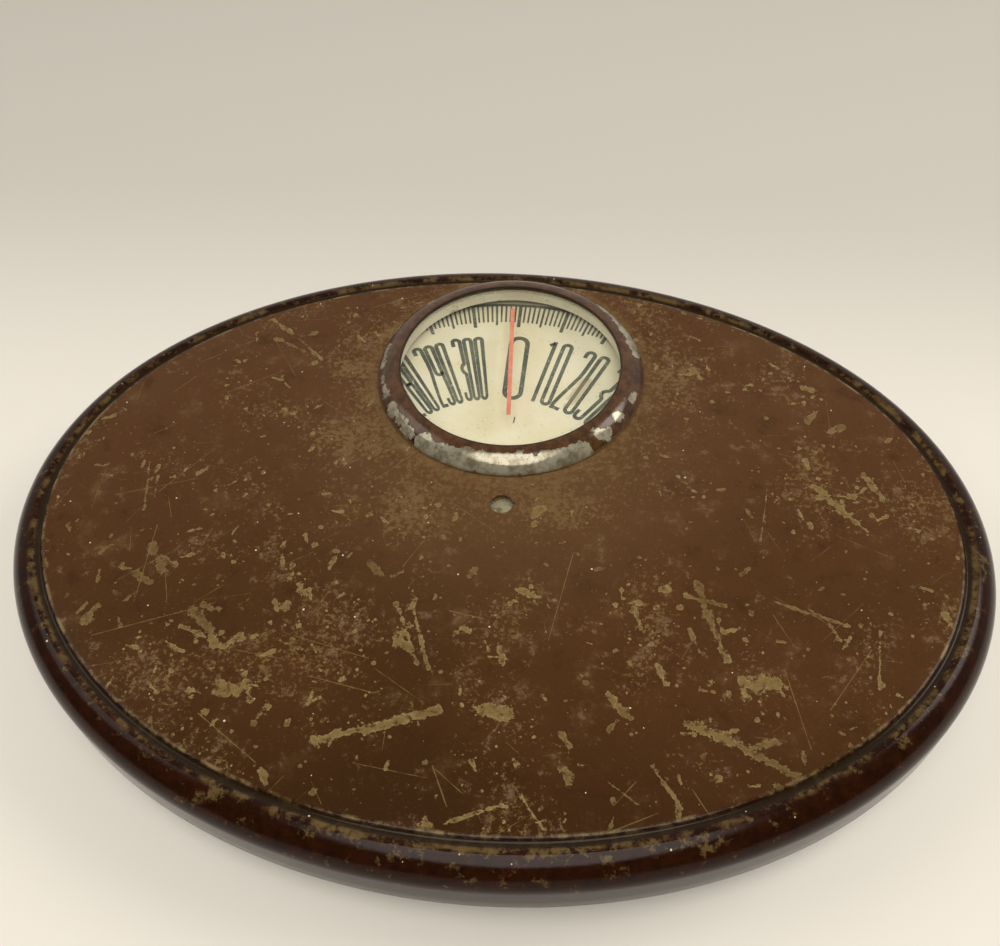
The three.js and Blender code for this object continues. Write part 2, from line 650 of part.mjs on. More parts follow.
place('spring_anchor', 'spring_anchor', cut(
  join(
    block(-5, 5, ANCHOR_Y - 3, ANCHOR_Y + 4, FLOOR_Z + 1.8, 19),
    block(-1.5, 1.5, ANCHOR_Y - 3, ANCHOR_Y + 4, 18, SPRING_HOLE[1] + 3),
  ),
  bar('y', SCREW_R + GAP, 100, 130, [0, SCREW_Z]),
  bar('x', SPRING_HOLE_R, -3, 3, [ANCHOR_Y, SPRING_HOLE[1]]),
), finish.zincSteel);

// ---------------------------------------------------------------- springs

// An extension spring along Y: a ring through a hole at each end, joined by coils.
function spring(x, z, rear, front, ringR, coilR, wireR, coils, steps) {
  const points = [];
  const ring = (centreY, sign, fromDeg, toDeg) => {
    for (const [u, v] of arc(0, 0, ringR, fromDeg, toDeg, 10)) {
      points.push(new THREE.Vector3(x + u, centreY + sign * v, z));
    }
  };
  const frontCentre = front + ringR;
  const rearCentre = rear - ringR;
  const leadX = x - ringR * 0.8;
  const leadZ = z + coilR * 0.3;
  const coilFrom = frontCentre + ringR + wireR * 5;
  const coilTo = rearCentre - ringR - wireR * 5;
  ring(frontCentre, -1, -40, 150);
  points.push(new THREE.Vector3(leadX, frontCentre + ringR + wireR * 2, leadZ));
  for (let i = 0; i <= coils * 8; i += 1) {
    const a = Math.PI * 0.75 - (i * Math.PI) / 4;
    const y = coilFrom + ((coilTo - coilFrom) * i) / (coils * 8);
    points.push(new THREE.Vector3(x + coilR * Math.cos(a), y, z + coilR * Math.sin(a)));
  }
  points.push(new THREE.Vector3(leadX, rearCentre - ringR - wireR * 2, leadZ));
  ring(rearCentre, 1, 150, -40);
  const path = new THREE.CatmullRomCurve3(points);
  const around = arc(0, 0, wireR, 0, 288, 4).map(([u, v]) => new THREE.Vector2(u, v));
  const wire = new THREE.Shape(around);
  const settings = { steps, extrudePath: path, bevelEnabled: false };
  return solid(new THREE.ExtrudeGeometry(wire, settings));
}

place('main_spring', 'main_spring',
  spring(0, SPRING_HOLE[1], ANCHOR_Y, SPRING_HOLE[0], 3.6, 5.2, 0.75, 7, 90), finish.springSteel);
place('rack_spring', 'rack_spring',
  spring(-4.05, RACK_Z, RACK_HOLE_Y, RACK_POST_Y, 2.2, 2.2, 0.35, 12, 130), finish.springSteel);

export default scale;
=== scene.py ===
"""A worn oval dial scale: the looks of every piece, built round the CAD frame."""

import math

import bmesh
import bpy
from mathutils import Matrix, Vector

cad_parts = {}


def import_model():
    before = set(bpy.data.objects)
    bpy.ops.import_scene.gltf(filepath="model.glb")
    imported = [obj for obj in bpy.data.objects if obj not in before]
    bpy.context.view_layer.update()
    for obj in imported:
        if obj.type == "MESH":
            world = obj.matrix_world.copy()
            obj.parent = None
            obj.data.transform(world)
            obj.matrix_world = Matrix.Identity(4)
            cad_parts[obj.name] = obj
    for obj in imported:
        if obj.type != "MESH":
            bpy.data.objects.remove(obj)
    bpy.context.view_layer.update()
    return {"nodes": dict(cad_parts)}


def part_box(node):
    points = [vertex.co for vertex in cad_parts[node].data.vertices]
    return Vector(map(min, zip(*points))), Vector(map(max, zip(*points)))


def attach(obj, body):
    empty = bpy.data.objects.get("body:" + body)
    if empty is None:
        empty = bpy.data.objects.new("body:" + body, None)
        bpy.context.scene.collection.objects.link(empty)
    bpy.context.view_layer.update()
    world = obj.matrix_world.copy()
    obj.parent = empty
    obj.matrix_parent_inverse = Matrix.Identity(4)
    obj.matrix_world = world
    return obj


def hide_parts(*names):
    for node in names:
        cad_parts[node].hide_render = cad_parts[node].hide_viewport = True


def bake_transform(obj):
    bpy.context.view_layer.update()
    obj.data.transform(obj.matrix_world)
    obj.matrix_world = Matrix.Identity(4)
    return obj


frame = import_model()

MM = 0.001

# ---------------- places from the frame, in mm


def box_mm(node):
    """The lowest corner, the highest corner and the middle of a CAD node."""
    low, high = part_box(node)
    return low / MM, high / MM, (low + high) / 2 / MM


cover_low, cover_high, _ = box_mm("platform_cover")
bezel_low, bezel_high, WINDOW = box_mm("window_bezel")
lens_low, lens_high, _ = box_mm("window_lens")
dial_low, dial_high, DIAL = box_mm("dial_disc")
pan_low, pan_high, _ = box_mm("base_pan")
knob_low, knob_high, KNOB = box_mm("zero_knob")

OUTER_X = cover_high.x
OUTER_Y = cover_high.y
LONGER = OUTER_X - OUTER_Y
DECK_Z = cover_high.z
SKIRT_Z = cover_low.z
SHEET = 1.2
ROLL_R = 10.4
# The middle of the groove, inwards from the edge.
GROOVE_IN = 11.5
GROOVE_HALF = 1.3
GROOVE_DEEP = 1.3
BEZEL_R = (bezel_high.x - bezel_low.x) / 2
BEZEL_TOP = bezel_high.z
BEZEL_ROUND_R = 11
LENS_R = (lens_high.x - lens_low.x) / 2
LENS_SEEN_R = 43.8
LENS_THICK = 1.8
LENS_DOME = 0.8
HOLE_R = 49.6
PEEP_R = 4.1
PEEP_X = 3
# The cover's ovals keep their shape inwards from this half width along Y.
PLAIN_Y = OUTER_Y - GROOVE_IN - 3
DIAL_R = (dial_high.x - dial_low.x) / 2
DIAL_TOP = dial_high.z

# ---------------- meshes, made in mm

SHARP_DEG = 35


def new_object(name, vertices, faces, sharp_deg=SHARP_DEG):
    """A mesh object with smooth faces and sharp edges above an angle, facing outwards."""
    mesh = bpy.data.meshes.new(name)
    mesh.from_pydata([tuple(MM * c for c in v) for v in vertices], [], faces)
    work = bmesh.new()
    work.from_mesh(mesh)
    bmesh.ops.recalc_face_normals(work, faces=work.faces)
    work.to_mesh(mesh)
    work.free()
    made = bpy.data.objects.new(name, mesh)
    bpy.context.scene.collection.objects.link(made)
    shade(made, sharp_deg)
    return made


def shade(made, sharp_deg=SHARP_DEG):
    """Smooth faces, with sharp edges above an angle."""
    made.data.shade_smooth()
    made.data.set_sharp_from_angle(angle=math.radians(sharp_deg))


def arc(cx, cy, radius, start, end, steps):
    """Points of an arc, with its angles in degrees."""
    turns = [math.radians(start + (end - start) * i / steps) for i in range(steps + 1)]
    return [(cx + radius * math.cos(a), cy + radius * math.sin(a)) for a in turns]


def oval(longer, plain_y):
    """Half widths along X of ovals from those along Y: more by longer from plain_y outwards, and
    in proportion inside it."""

    def half_x(radius):
        outer = max(radius, plain_y)
        return radius * (outer + longer) / outer

    return half_x


def turned(name, outline, segments, centre=(0, 0), half_x=None):
    """A closed (radius, height) outline turned about a vertical line, or round an oval whose half
    width along X is half_x(radius)."""
    vertices = []
    rings = []
    for radius, z in outline:
        if radius < 1e-6:
            rings.append([len(vertices)])
            vertices.append((centre[0], centre[1], z))
            continue
        wide = half_x(radius) if half_x else radius
        rings.append(list(range(len(vertices), len(vertices) + segments)))
        for i in range(segments):
            a = 2 * math.pi * i / segments
            vertices.append((centre[0] + wide * math.cos(a), centre[1] + radius * math.sin(a), z))
    faces = []
    for low, high in zip(rings, rings[1:] + rings[:1]):
        if len(low) == 1 and len(high) == 1:
            continue
        for i in range(segments):
            j = (i + 1) % segments
            if len(low) == 1:
                faces.append((low[0], high[i], high[j]))
            elif len(high) == 1:
                faces.append((low[i], low[j], high[0]))
            else:
                faces.append((low[i], low[j], high[j], high[i]))
    return new_object(name, vertices, faces)


def tube(name, points, radius, sides):
    """A round wire along a path, closed at both ends."""
    path = [Vector(p) for p in points]
    normal = None
    vertices = []
    for i, here in enumerate(path):
        along = (path[min(i + 1, len(path) - 1)] - path[max(i - 1, 0)]).normalized()
        if normal is None:
            normal = along.orthogonal().normalized()
        normal = (normal - along * normal.dot(along)).normalized()
        side = along.cross(normal)
        for k in range(sides):
            a = 2 * math.pi * k / sides
            vertices.append(here + radius * (normal * math.cos(a) + side * math.sin(a)))
    faces = [tuple(range(sides)), tuple(range(len(vertices) - sides, len(vertices)))]
    for i in range(len(path) - 1):
        for k in range(sides):
            m = (k + 1) % sides
            faces.append((i * sides + k, i * sides + m, (i + 1) * sides + m, (i + 1) * sides + k))
    return new_object(name, vertices, faces, sharp_deg=60)


def ribbon(strokes, z0, z1):
    """Vertices and faces of flat bars: each stroke is a width and the points of its middle line."""
    vertices = []
    faces = []
    for width, points in strokes:
        path = [Vector(points[0])]
        for point in points[1:]:
            if (Vector(point) - path[-1]).length > 0.01:
                path.append(Vector(point))
        start = len(vertices)
        for i, here in enumerate(path):
            into = (here - path[i - 1]).normalized() if i else None
            out = (path[i + 1] - here).normalized() if i + 1 < len(path) else None
            along = ((into or out) + (out or into)).normalized()
            reach = width / 2 / max(along.dot(out or into), 0.4)
            side = Vector((-along.y, along.x)) * reach
            for z in (z0, z1):
                vertices += [(*(here + side), z), (*(here - side), z)]
        for i in range(len(path) - 1):
            a = start + 4 * i
            b = a + 4
            faces += [(a, a + 1, b + 1, b), (a + 2, b + 2, b + 3, a + 3)]
            faces += [(a, b, b + 2, a + 2), (a + 1, a + 3, b + 3, b + 1)]
        end = start + 4 * (len(path) - 1)
        faces += [(start, start + 2, start + 3, start + 1), (end, end + 1, end + 3, end + 2)]
    return vertices, faces


def upright_cutter(radius, x, y, z0, z1, segments):
    """A solid cylinder to cut a hole with."""
    return turned("cutter", [(0, z0), (radius, z0), (radius, z1), (0, z1)], segments, (x, y))


def cut_away(made, cutters):
    """Cuts each cutter out of a piece and removes it."""
    for cutter in cutters:
        modifier = made.modifiers.new("cut", "BOOLEAN")
        modifier.operation = "DIFFERENCE"
        modifier.solver = "EXACT"
        modifier.object = cutter
    graph = bpy.context.evaluated_depsgraph_get()
    mesh = bpy.data.meshes.new_from_object(made.evaluated_get(graph))
    made.modifiers.clear()
    made.data = mesh
    for cutter in cutters:
        bpy.data.objects.remove(cutter)
    shade(made)


def hand_over(made, body, slot, node, look=None):
    """Gives a piece its body and its material, which is the look of the slot or another one, and
    hides the CAD node that it stands for."""
    made.data.materials.clear()
    made.data.materials.append(look or LOOKS[slot])
    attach(made, body)
    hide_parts(node)


# ---------------- node helpers


def colour(red, green, blue):
    """An sRGB colour in 0 to 255 as the linear colour that sockets take."""

    def linear(c):
        c /= 255
        return c / 12.92 if c <= 0.04045 else ((c + 0.055) / 1.055) ** 2.4

    return (linear(red), linear(green), linear(blue), 1)


class Nodes:
    """A short way to build the nodes of a material or a group."""

    def __init__(self, tree):
        self.tree = tree

    def add(self, kind, **settings):
        node = self.tree.nodes.new(kind)
        for key, value in settings.items():
            setattr(node, key, value)
        return node

    def feed(self, socket, value):
        if isinstance(value, bpy.types.NodeSocket):
            self.tree.links.new(value, socket)
        elif value is not None:
            socket.default_value = value

    def math(self, operation, a, b=None, clamp=False):
        node = self.add("ShaderNodeMath", operation=operation, use_clamp=clamp)
        for socket, value in zip(node.inputs, (a, b)):
            self.feed(socket, value)
        return node.outputs[0]

    def fold(self, operation, first, *others):
        """One sum, product or maximum of several values."""
        for value in others:
            first = self.math(operation, first, value)
        return first

    def plus(self, *values):
        return self.fold("ADD", *values)

    def times(self, *values):
        return self.fold("MULTIPLY", *values)

    def most(self, *values):
        return self.fold("MAXIMUM", *values)

    def less(self, a, b):
        return self.math("SUBTRACT", a, b)

    def vector(self, operation, a, b=None, scale=None):
        node = self.add("ShaderNodeVectorMath", operation=operation)
        for socket, value in zip(node.inputs, (a, b, None, scale)):
            self.feed(socket, value)
        scalar = operation in ("DOT_PRODUCT", "LENGTH", "DISTANCE")
        return node.outputs["Value"] if scalar else node.outputs["Vector"]

    def ramp(self, value, low, high, to_low=0.0, to_high=1.0):
        """value from low to high becomes to_low to to_high, smoothly and no further."""
        node = self.add("ShaderNodeMapRange", interpolation_type="SMOOTHSTEP")
        for socket, number in zip(node.inputs[:5], (value, low, high, to_low, to_high)):
            self.feed(socket, number)
        return node.outputs[0]

    def band(self, value, low, low_full, high_full, high):
        """1 from low_full to high_full, and 0 outside low and high."""
        return self.times(self.ramp(value, low, low_full), self.ramp(value, high, high_full))

    def mix(self, factor, a, b):
        """A colour from a at factor 0 to b at factor 1."""
        node = self.add("ShaderNodeMix", data_type="RGBA")
        for index, value in ((0, factor), (6, a), (7, b)):
            self.feed(node.inputs[index], value)
        return node.outputs[2]

    def tint(self, base, other, value, low, high, share=1.0):
        """base, of which share turns into other as value goes from low to high."""
        return self.mix(self.ramp(value, low, high, 0.0, share), base, other)

    def between(self, factor, a, b):
        """A number from a at factor 0 to b at factor 1."""
        node = self.add("ShaderNodeMix", data_type="FLOAT")
        for index, value in ((0, factor), (2, a), (3, b)):
            self.feed(node.inputs[index], value)
        return node.outputs[0]

    def apart(self, vector):
        node = self.add("ShaderNodeSeparateXYZ")
        self.feed(node.inputs[0], vector)
        return node.outputs

    def joined(self, x, y, z=0.0):
        node = self.add("ShaderNodeCombineXYZ")
        for socket, value in zip(node.inputs, (x, y, z)):
            self.feed(socket, value)
        return node.outputs[0]

    def group(self, tree, values):
        node = self.add("ShaderNodeGroup")
        node.node_tree = tree
        for socket, value in zip(node.inputs, values):
            self.feed(socket, value)
        return node.outputs[0]


class Surface(Nodes):
    """The nodes of a new material. Its place is the point on the piece, in mm."""

    def __init__(self, name, **constants):
        self.material = bpy.data.materials.new(name)
        self.material.use_nodes = True
        super().__init__(self.material.node_tree)
        self.sockets = self.tree.nodes["Principled BSDF"].inputs
        for key, value in constants.items():
            self.sockets[key.replace("_", " ")].default_value = value
        point = self.add("ShaderNodeTexCoord").outputs["Object"]
        self.place = self.vector("SCALE", point, scale=1 / MM)

    def noise(self, scale, detail, rough):
        node = self.add("ShaderNodeTexNoise")
        self.feed(node.inputs["Vector"], self.place)
        node.inputs["Scale"].default_value = scale
        node.inputs["Detail"].default_value = detail
        node.inputs["Roughness"].default_value = rough
        return node.outputs["Fac"]

    def swing(self, scale, detail, rough):
        """A noise that goes both ways from 0."""
        return self.less(self.noise(scale, detail, rough), 0.5)

    def bump(self, height, distance, strength):
        """A bump whose height, in mm at 1, is distance."""
        node = self.add("ShaderNodeBump")
        node.inputs["Strength"].default_value = strength
        node.inputs["Distance"].default_value = distance * MM
        self.feed(node.inputs["Height"], height)
        return node.outputs[0]

    def made(self, base, rough, **others):
        """The material, once these values are in its sockets."""
        for key, value in {"Base Color": base, "Roughness": rough, **others}.items():
            self.feed(self.sockets[key], value)
        return self.material


# ---------------- chains of chips and scratches

# Farther than any mark reaches, in mm.
FAR = 99.0


def new_group(name, vectors, numbers):
    """A node group with these inputs that gives Carried: its nodes, its inputs and its output."""
    tree = bpy.data.node_groups.new(name, "ShaderNodeTree")
    for label in vectors:
        tree.interface.new_socket(label, in_out="INPUT", socket_type="NodeSocketVector")
    for label in numbers:
        tree.interface.new_socket(label, in_out="INPUT", socket_type="NodeSocketFloat")
    tree.interface.new_socket("Carried", in_out="OUTPUT", socket_type="NodeSocketVector")
    n = Nodes(tree)
    return n, n.add("NodeGroupInput").outputs, n.add("NodeGroupOutput").inputs[0]


def mark_group():
    """One chip or scratch from Start along Line. Carried holds the point in x and y and, in z,
    how far inside the marks before this one it is, which keeps the marks in one chain."""
    n, into, out = new_group("mark", ("Carried", "Start", "Line", "Pull"), ("Half", "Rough", "Shake"))
    x, y, before = n.apart(into["Carried"])
    rel = n.vector("SUBTRACT", into["Carried"], into["Start"])
    t = n.math("MULTIPLY", n.vector("DOT_PRODUCT", rel, into["Pull"]), 1.0, clamp=True)
    away = n.vector("SUBTRACT", rel, n.vector("SCALE", into["Line"], scale=t))
    reach = n.vector("LENGTH", n.vector("MULTIPLY", away, (1, 1, 0)))
    inside = n.plus(n.less(into["Half"], reach), n.times(into["Rough"], into["Shake"]))
    n.feed(out, n.joined(x, y, n.most(inside, before)))
    return n.tree


def scatter_group():
    """One chip or scratch, at a random place and turn, in some of the cells of a grid."""
    n, into, out = new_group("scatter", ("Carried", "Shift"),
                             ("Cells", "Length", "Width", "Share", "Ragged", "Shake"))
    moved = n.vector("ADD", into["Carried"], into["Shift"])
    cells = n.add("ShaderNodeTexVoronoi", feature="F1", voronoi_dimensions="2D")
    n.feed(cells.inputs["Vector"], moved)
    n.feed(cells.inputs["Scale"], into["Cells"])
    random = n.apart(cells.outputs["Color"])
    x, y = n.apart(n.vector("SUBTRACT", moved, cells.outputs["Position"]))[:2]
    turn = n.times(random[0], 2 * math.pi)
    cos = n.math("COSINE", turn)
    sin = n.math("SINE", turn)
    along = n.math("ABSOLUTE", n.plus(n.times(x, cos), n.times(y, sin)))
    across = n.less(n.times(y, cos), n.times(x, sin))
    size = n.plus(n.times(random[1], 0.65), 0.35)
    over = n.most(n.less(along, n.times(into["Length"], 0.5, size)), 0.0)
    reach = n.math("SQRT", n.plus(n.times(over, over), n.times(across, across)))
    uneven = n.plus(1.0, n.times(into["Ragged"], into["Shake"]))
    half = n.times(size, 0.5, into["Width"], uneven)
    missing = n.math("GREATER_THAN", random[2], into["Share"])
    inside = n.less(n.less(half, reach), n.times(missing, FAR))
    before_x, before_y, before = n.apart(into["Carried"])
    n.feed(out, n.joined(before_x, before_y, n.most(inside, before)))
    return n.tree


MARK = mark_group()
SCATTER = scatter_group()


def marked(n, x, y, shake, marks=(), layers=(), crowd=1.0):
    """The point again, and how far inside the nearest mark it is. A mark is (x0, y0, x1, y1, width,
    ragged) and a layer of scattered ones is (shift, cell, length, width, share, ragged)."""
    carried = n.joined(x, y, -FAR)
    for x0, y0, x1, y1, width, ragged in marks:
        line = Vector((x1 - x0, y1 - y0, 0))
        pull = line / line.length_squared
        carried = n.group(MARK, (carried, (x0, y0, 0), line, pull, width / 2, width / 2 * ragged, shake))
    for shift, cell, length, width, share, ragged in layers:
        crowded = n.times(crowd, share)
        carried = n.group(SCATTER, (carried, shift, 1 / cell, length, width, crowded, ragged, shake))
    return n.apart(carried)


# ---------------- colours

# The deck's paint: lighter at the back as painted sheen, darker at the front as painted shade.
PAINT_BACK_LIT = colour(84, 55, 30)
PAINT_FRONT_SHADED = colour(60, 37, 13)
PAINT_WARM = colour(80, 50, 25)
# Dusty paint, also used for a painted pool of light in front of the window.
PAINT_DUST_AND_LIGHT = colour(102, 77, 48)
PAINT_DARK = colour(50, 29, 12)
RIM_DARK = colour(27, 12, 5)
RIM_RED = colour(48, 21, 8)
GRIME_AND_SHADE = colour(38, 28, 16)
WORN_EDGE = colour(140, 120, 84)
KHAKI = colour(124, 103, 62)
KHAKI_LIGHT = colour(144, 124, 82)
KHAKI_DEEP = colour(102, 84, 50)
# Grime in pits, also used as painted shade in the groove and at the lens's edge.
KHAKI_DULL = colour(120, 97, 60)
KHAKI_RIM = colour(98, 79, 46)
SMUDGE = colour(118, 94, 70)
WHITE_SPECK = colour(206, 196, 172)
BEZEL_BROWN = colour(88, 58, 34)
BEZEL_DARK = colour(62, 40, 22)
SILVER = colour(168, 162, 140)
SILVER_DULL = colour(124, 114, 90)
DIAL_CREAM = colour(230, 225, 196)
DIAL_YELLOW = colour(220, 212, 174)
DIAL_DIRT = colour(132, 122, 90)
INK = colour(74, 80, 68)
INK_PALE = colour(104, 108, 90)
BLUE_STAIN = colour(120, 150, 160)

# ---------------- deck and rim paint

# Chips and scratches on the deck, in mm: ends, width and raggedness.
DECK_MARKS = [
    (-42, -94, -27, -89, 1.6, 0.9), (-30, -90, -9, -82, 3.4, 0.8), (-43, -95, -39, -92, 2.2, 1.0),
    (-80, -81, -75, -81, 5.5, 1.0), (-72, -78, -69, -84, 2.0, 1.0),
    (-97, -53, -91, -58, 3.0, 1.5), (-91, -58, -86, -66, 2.6, 1.5), (-99, -60, -90, -63, 2.2, 1.5),
    (-94, -51, -88, -52, 1.8, 1.2), (-102, -66, -96, -69, 1.6, 1.2),
    (-27, -47, -18, -66, 1.5, 1.2), (-22, -47, -14, -68, 1.2, 1.2), (-26, -58, -20, -62, 2.4, 1.4),
    (-119, -29, -112, -39, 3.2, 1.8), (-113, -34, -108, -36, 2.0, 1.5), (-121, -41, -115, -44, 1.8, 1.4),
    (73, -28, 76, -40, 3.0, 1.6), (76, -40, 82, -56, 2.2, 1.3), (69, -33, 82, -36, 1.6, 1.3),
    (81, -46, 87, -44, 1.5, 1.2), (70, -46, 73, -54, 1.4, 1.2),
    (91, -64, 97, -63, 5.0, 1.3), (86, -62, 90, -66, 2.0, 1.2),
    (69, -79, 84, -85, 3.6, 1.2), (84, -85, 101, -93, 2.6, 1.2), (88, -85, 97, -83, 2.6, 1.2),
    (99, -33, 122, -40, 1.2, 0.9), (110, -35, 118, -43, 0.8, 0.8),
    (132, -41, 129, -62, 0.8, 0.7), (116, 50, 120, 54, 2.6, 1.6), (125, 45, 129, 47, 2.2, 1.6),
    (116, 18, 127, 6, 3.0, 1.7), (121, 14, 130, 14, 1.8, 1.5), (134, 25, 140, 14, 2.2, 1.6),
    (128, 4, 133, -1, 1.4, 1.2),
    (-104, 89, -94, 81, 1.8, 1.7), (-96, 84, -78, 67, 1.2, 1.6), (-90, 80, -84, 82, 2.2, 1.6),
    (-100, 78, -86, 71, 1.4, 1.6),
    (-2, -117, 14, -110, 1.1, 0.9), (18, -105, 27, -116, 0.9, 0.8), (45, -100, 54, -106, 0.8, 0.8),
    (58, -94, 67, -106, 0.9, 0.8), (6, -80, 13, -81, 4.6, 1.2), (44, -72, 51, -79, 2.2, 1.5),
    (52, -40, 54, -47, 1.8, 1.4), (-60, -106, -57, -110, 1.8, 1.3), (30, -86, 33, -90, 1.8, 1.3),
    (-132, 8, -127, -14, 0.9, 1.2), (-127, 2, -125, -8, 0.7, 1.0), (95, -10, 99, 14, 0.5, 0.7),
    (-64, -40, -60, -44, 2.6, 1.6), (-70, -48, -66, -50, 2.2, 1.6), (-40, -30, -36, -33, 2.0, 1.6),
    (12, -36, 20, -38, 2.2, 1.6), (8, -58, 10, -64, 1.6, 1.2), (60, -60, 62, -66, 1.6, 1.4),
]
# Long thin scratches.
FINE_SCRATCHES = [
    (-128, -66, -90, -50, 0.35, 0.5), (-120, -20, -118, -52, 0.35, 0.5), (-84, -90, -62, -104, 0.4, 0.5),
    (-60, -60, -34, -66, 0.35, 0.5), (-8, -100, -2, -112, 0.4, 0.4), (30, -20, 24, -54, 0.35, 0.5),
    (70, -100, 78, -112, 0.4, 0.4), (-140, -8, -112, 2, 0.3, 0.5), (100, -58, 106, -84, 0.35, 0.4),
    (-52, -74, -30, -78, 0.35, 0.5), (110, 22, 138, 12, 0.3, 0.5), (-10, -46, 2, -48, 0.4, 0.5),
    (-112, 46, -92, 60, 0.35, 0.5), (-30, 24, -44, 8, 0.3, 0.5), (60, -108, 40, -118, 0.4, 0.5),
]
# Scattered marks, in mm: shift of the grid, cell, length, width, share of the cells, raggedness.
CHIP_LAYERS = [
    ((0, 0, 0), 7.4, 0.5, 1.7, 0.66, 1.5),
    ((31, 17, 0), 12.5, 5.0, 1.2, 1.0, 1.5),
    ((7, 59, 0), 3.6, 0.0, 0.65, 0.6, 0.9),
    ((83, 29, 0), 27.0, 7.0, 3.0, 0.9, 1.7),
]
SCRATCH_LAYERS = [
    ((3, 91, 0), 34.0, 30.0, 0.32, 0.5, 0.6),
    ((67, 5, 0), 19.0, 13.0, 0.3, 0.45, 0.6),
]
SPECK_LAYERS = [((11, 3, 0), 22.0, 0.0, 0.75, 0.5, 0.3)]


def inward_mm(n, x, y):
    """How far inside the cover's edge a point is, along Y, by two steps of Newton's method."""
    level = n.math("SQRT", n.plus(n.math("POWER", n.math("DIVIDE", x, OUTER_X), 2.0),
                                  n.math("POWER", n.math("DIVIDE", y, OUTER_Y), 2.0)))
    radius = n.times(level, OUTER_Y)
    for _ in range(2):
        radius = n.math("MAXIMUM", radius, OUTER_Y / 2)
        longer = n.plus(radius, LONGER)
        u2 = n.math("POWER", n.math("DIVIDE", x, longer), 2.0)
        v2 = n.math("POWER", n.math("DIVIDE", y, radius), 2.0)
        slope = n.plus(n.math("DIVIDE", u2, longer), n.math("DIVIDE", v2, radius))
        step = n.math("DIVIDE", n.less(n.plus(u2, v2), 1.0), n.times(slope, 2.0))
        radius = n.plus(radius, step)
    return n.less(OUTER_Y, radius)


def deck_coat(n, y, large, mottle, grit):
    """Paint with dust and dark patches, lighter at the back as painted sheen and browner at the front as
    painted shade.
    """
    # Painted sheen at the back, painted shade at the front.
    paint = n.mix(n.ramp(y, 70.0, -120.0), PAINT_BACK_LIT, PAINT_FRONT_SHADED)
    paint = n.tint(paint, PAINT_WARM, large, 0.38, 0.70, 0.7)
    paint = n.tint(paint, PAINT_DUST_AND_LIGHT, mottle, 0.52, 0.75, 0.55)
    paint = n.tint(paint, PAINT_DARK, mottle, 0.46, 0.28, 0.5)
    paint = n.tint(paint, PAINT_DUST_AND_LIGHT, grit, 0.56, 0.7, 0.35)
    # Painted shade: darker still towards the front edge.
    return n.tint(paint, PAINT_DARK, y, -66.0, -122.0, 0.6)


def edge_lines(n, paint, inward):
    """Wear on the rim's crest and the deck's lip, and painted shade in the groove between them."""
    edge_wear = n.noise(0.11, 5.0, 0.7)
    crest = n.band(inward, 7.4, 9.4, 10.2, 11.4)
    paint = n.mix(n.times(crest, n.ramp(edge_wear, 0.45, 0.62, 0.0, 0.8)), paint, KHAKI_RIM)
    groove = n.band(inward, 9.8, 10.8, 12.2, 13.2)
    # Painted shade darkens the groove.
    paint = n.mix(n.times(groove, 0.88), paint, GRIME_AND_SHADE)
    lip = n.band(inward, 12.5, 13.1, 13.5, 14.3)
    return n.mix(n.times(lip, n.ramp(edge_wear, 0.46, 0.64, 0.0, 0.6)), paint, WORN_EDGE)


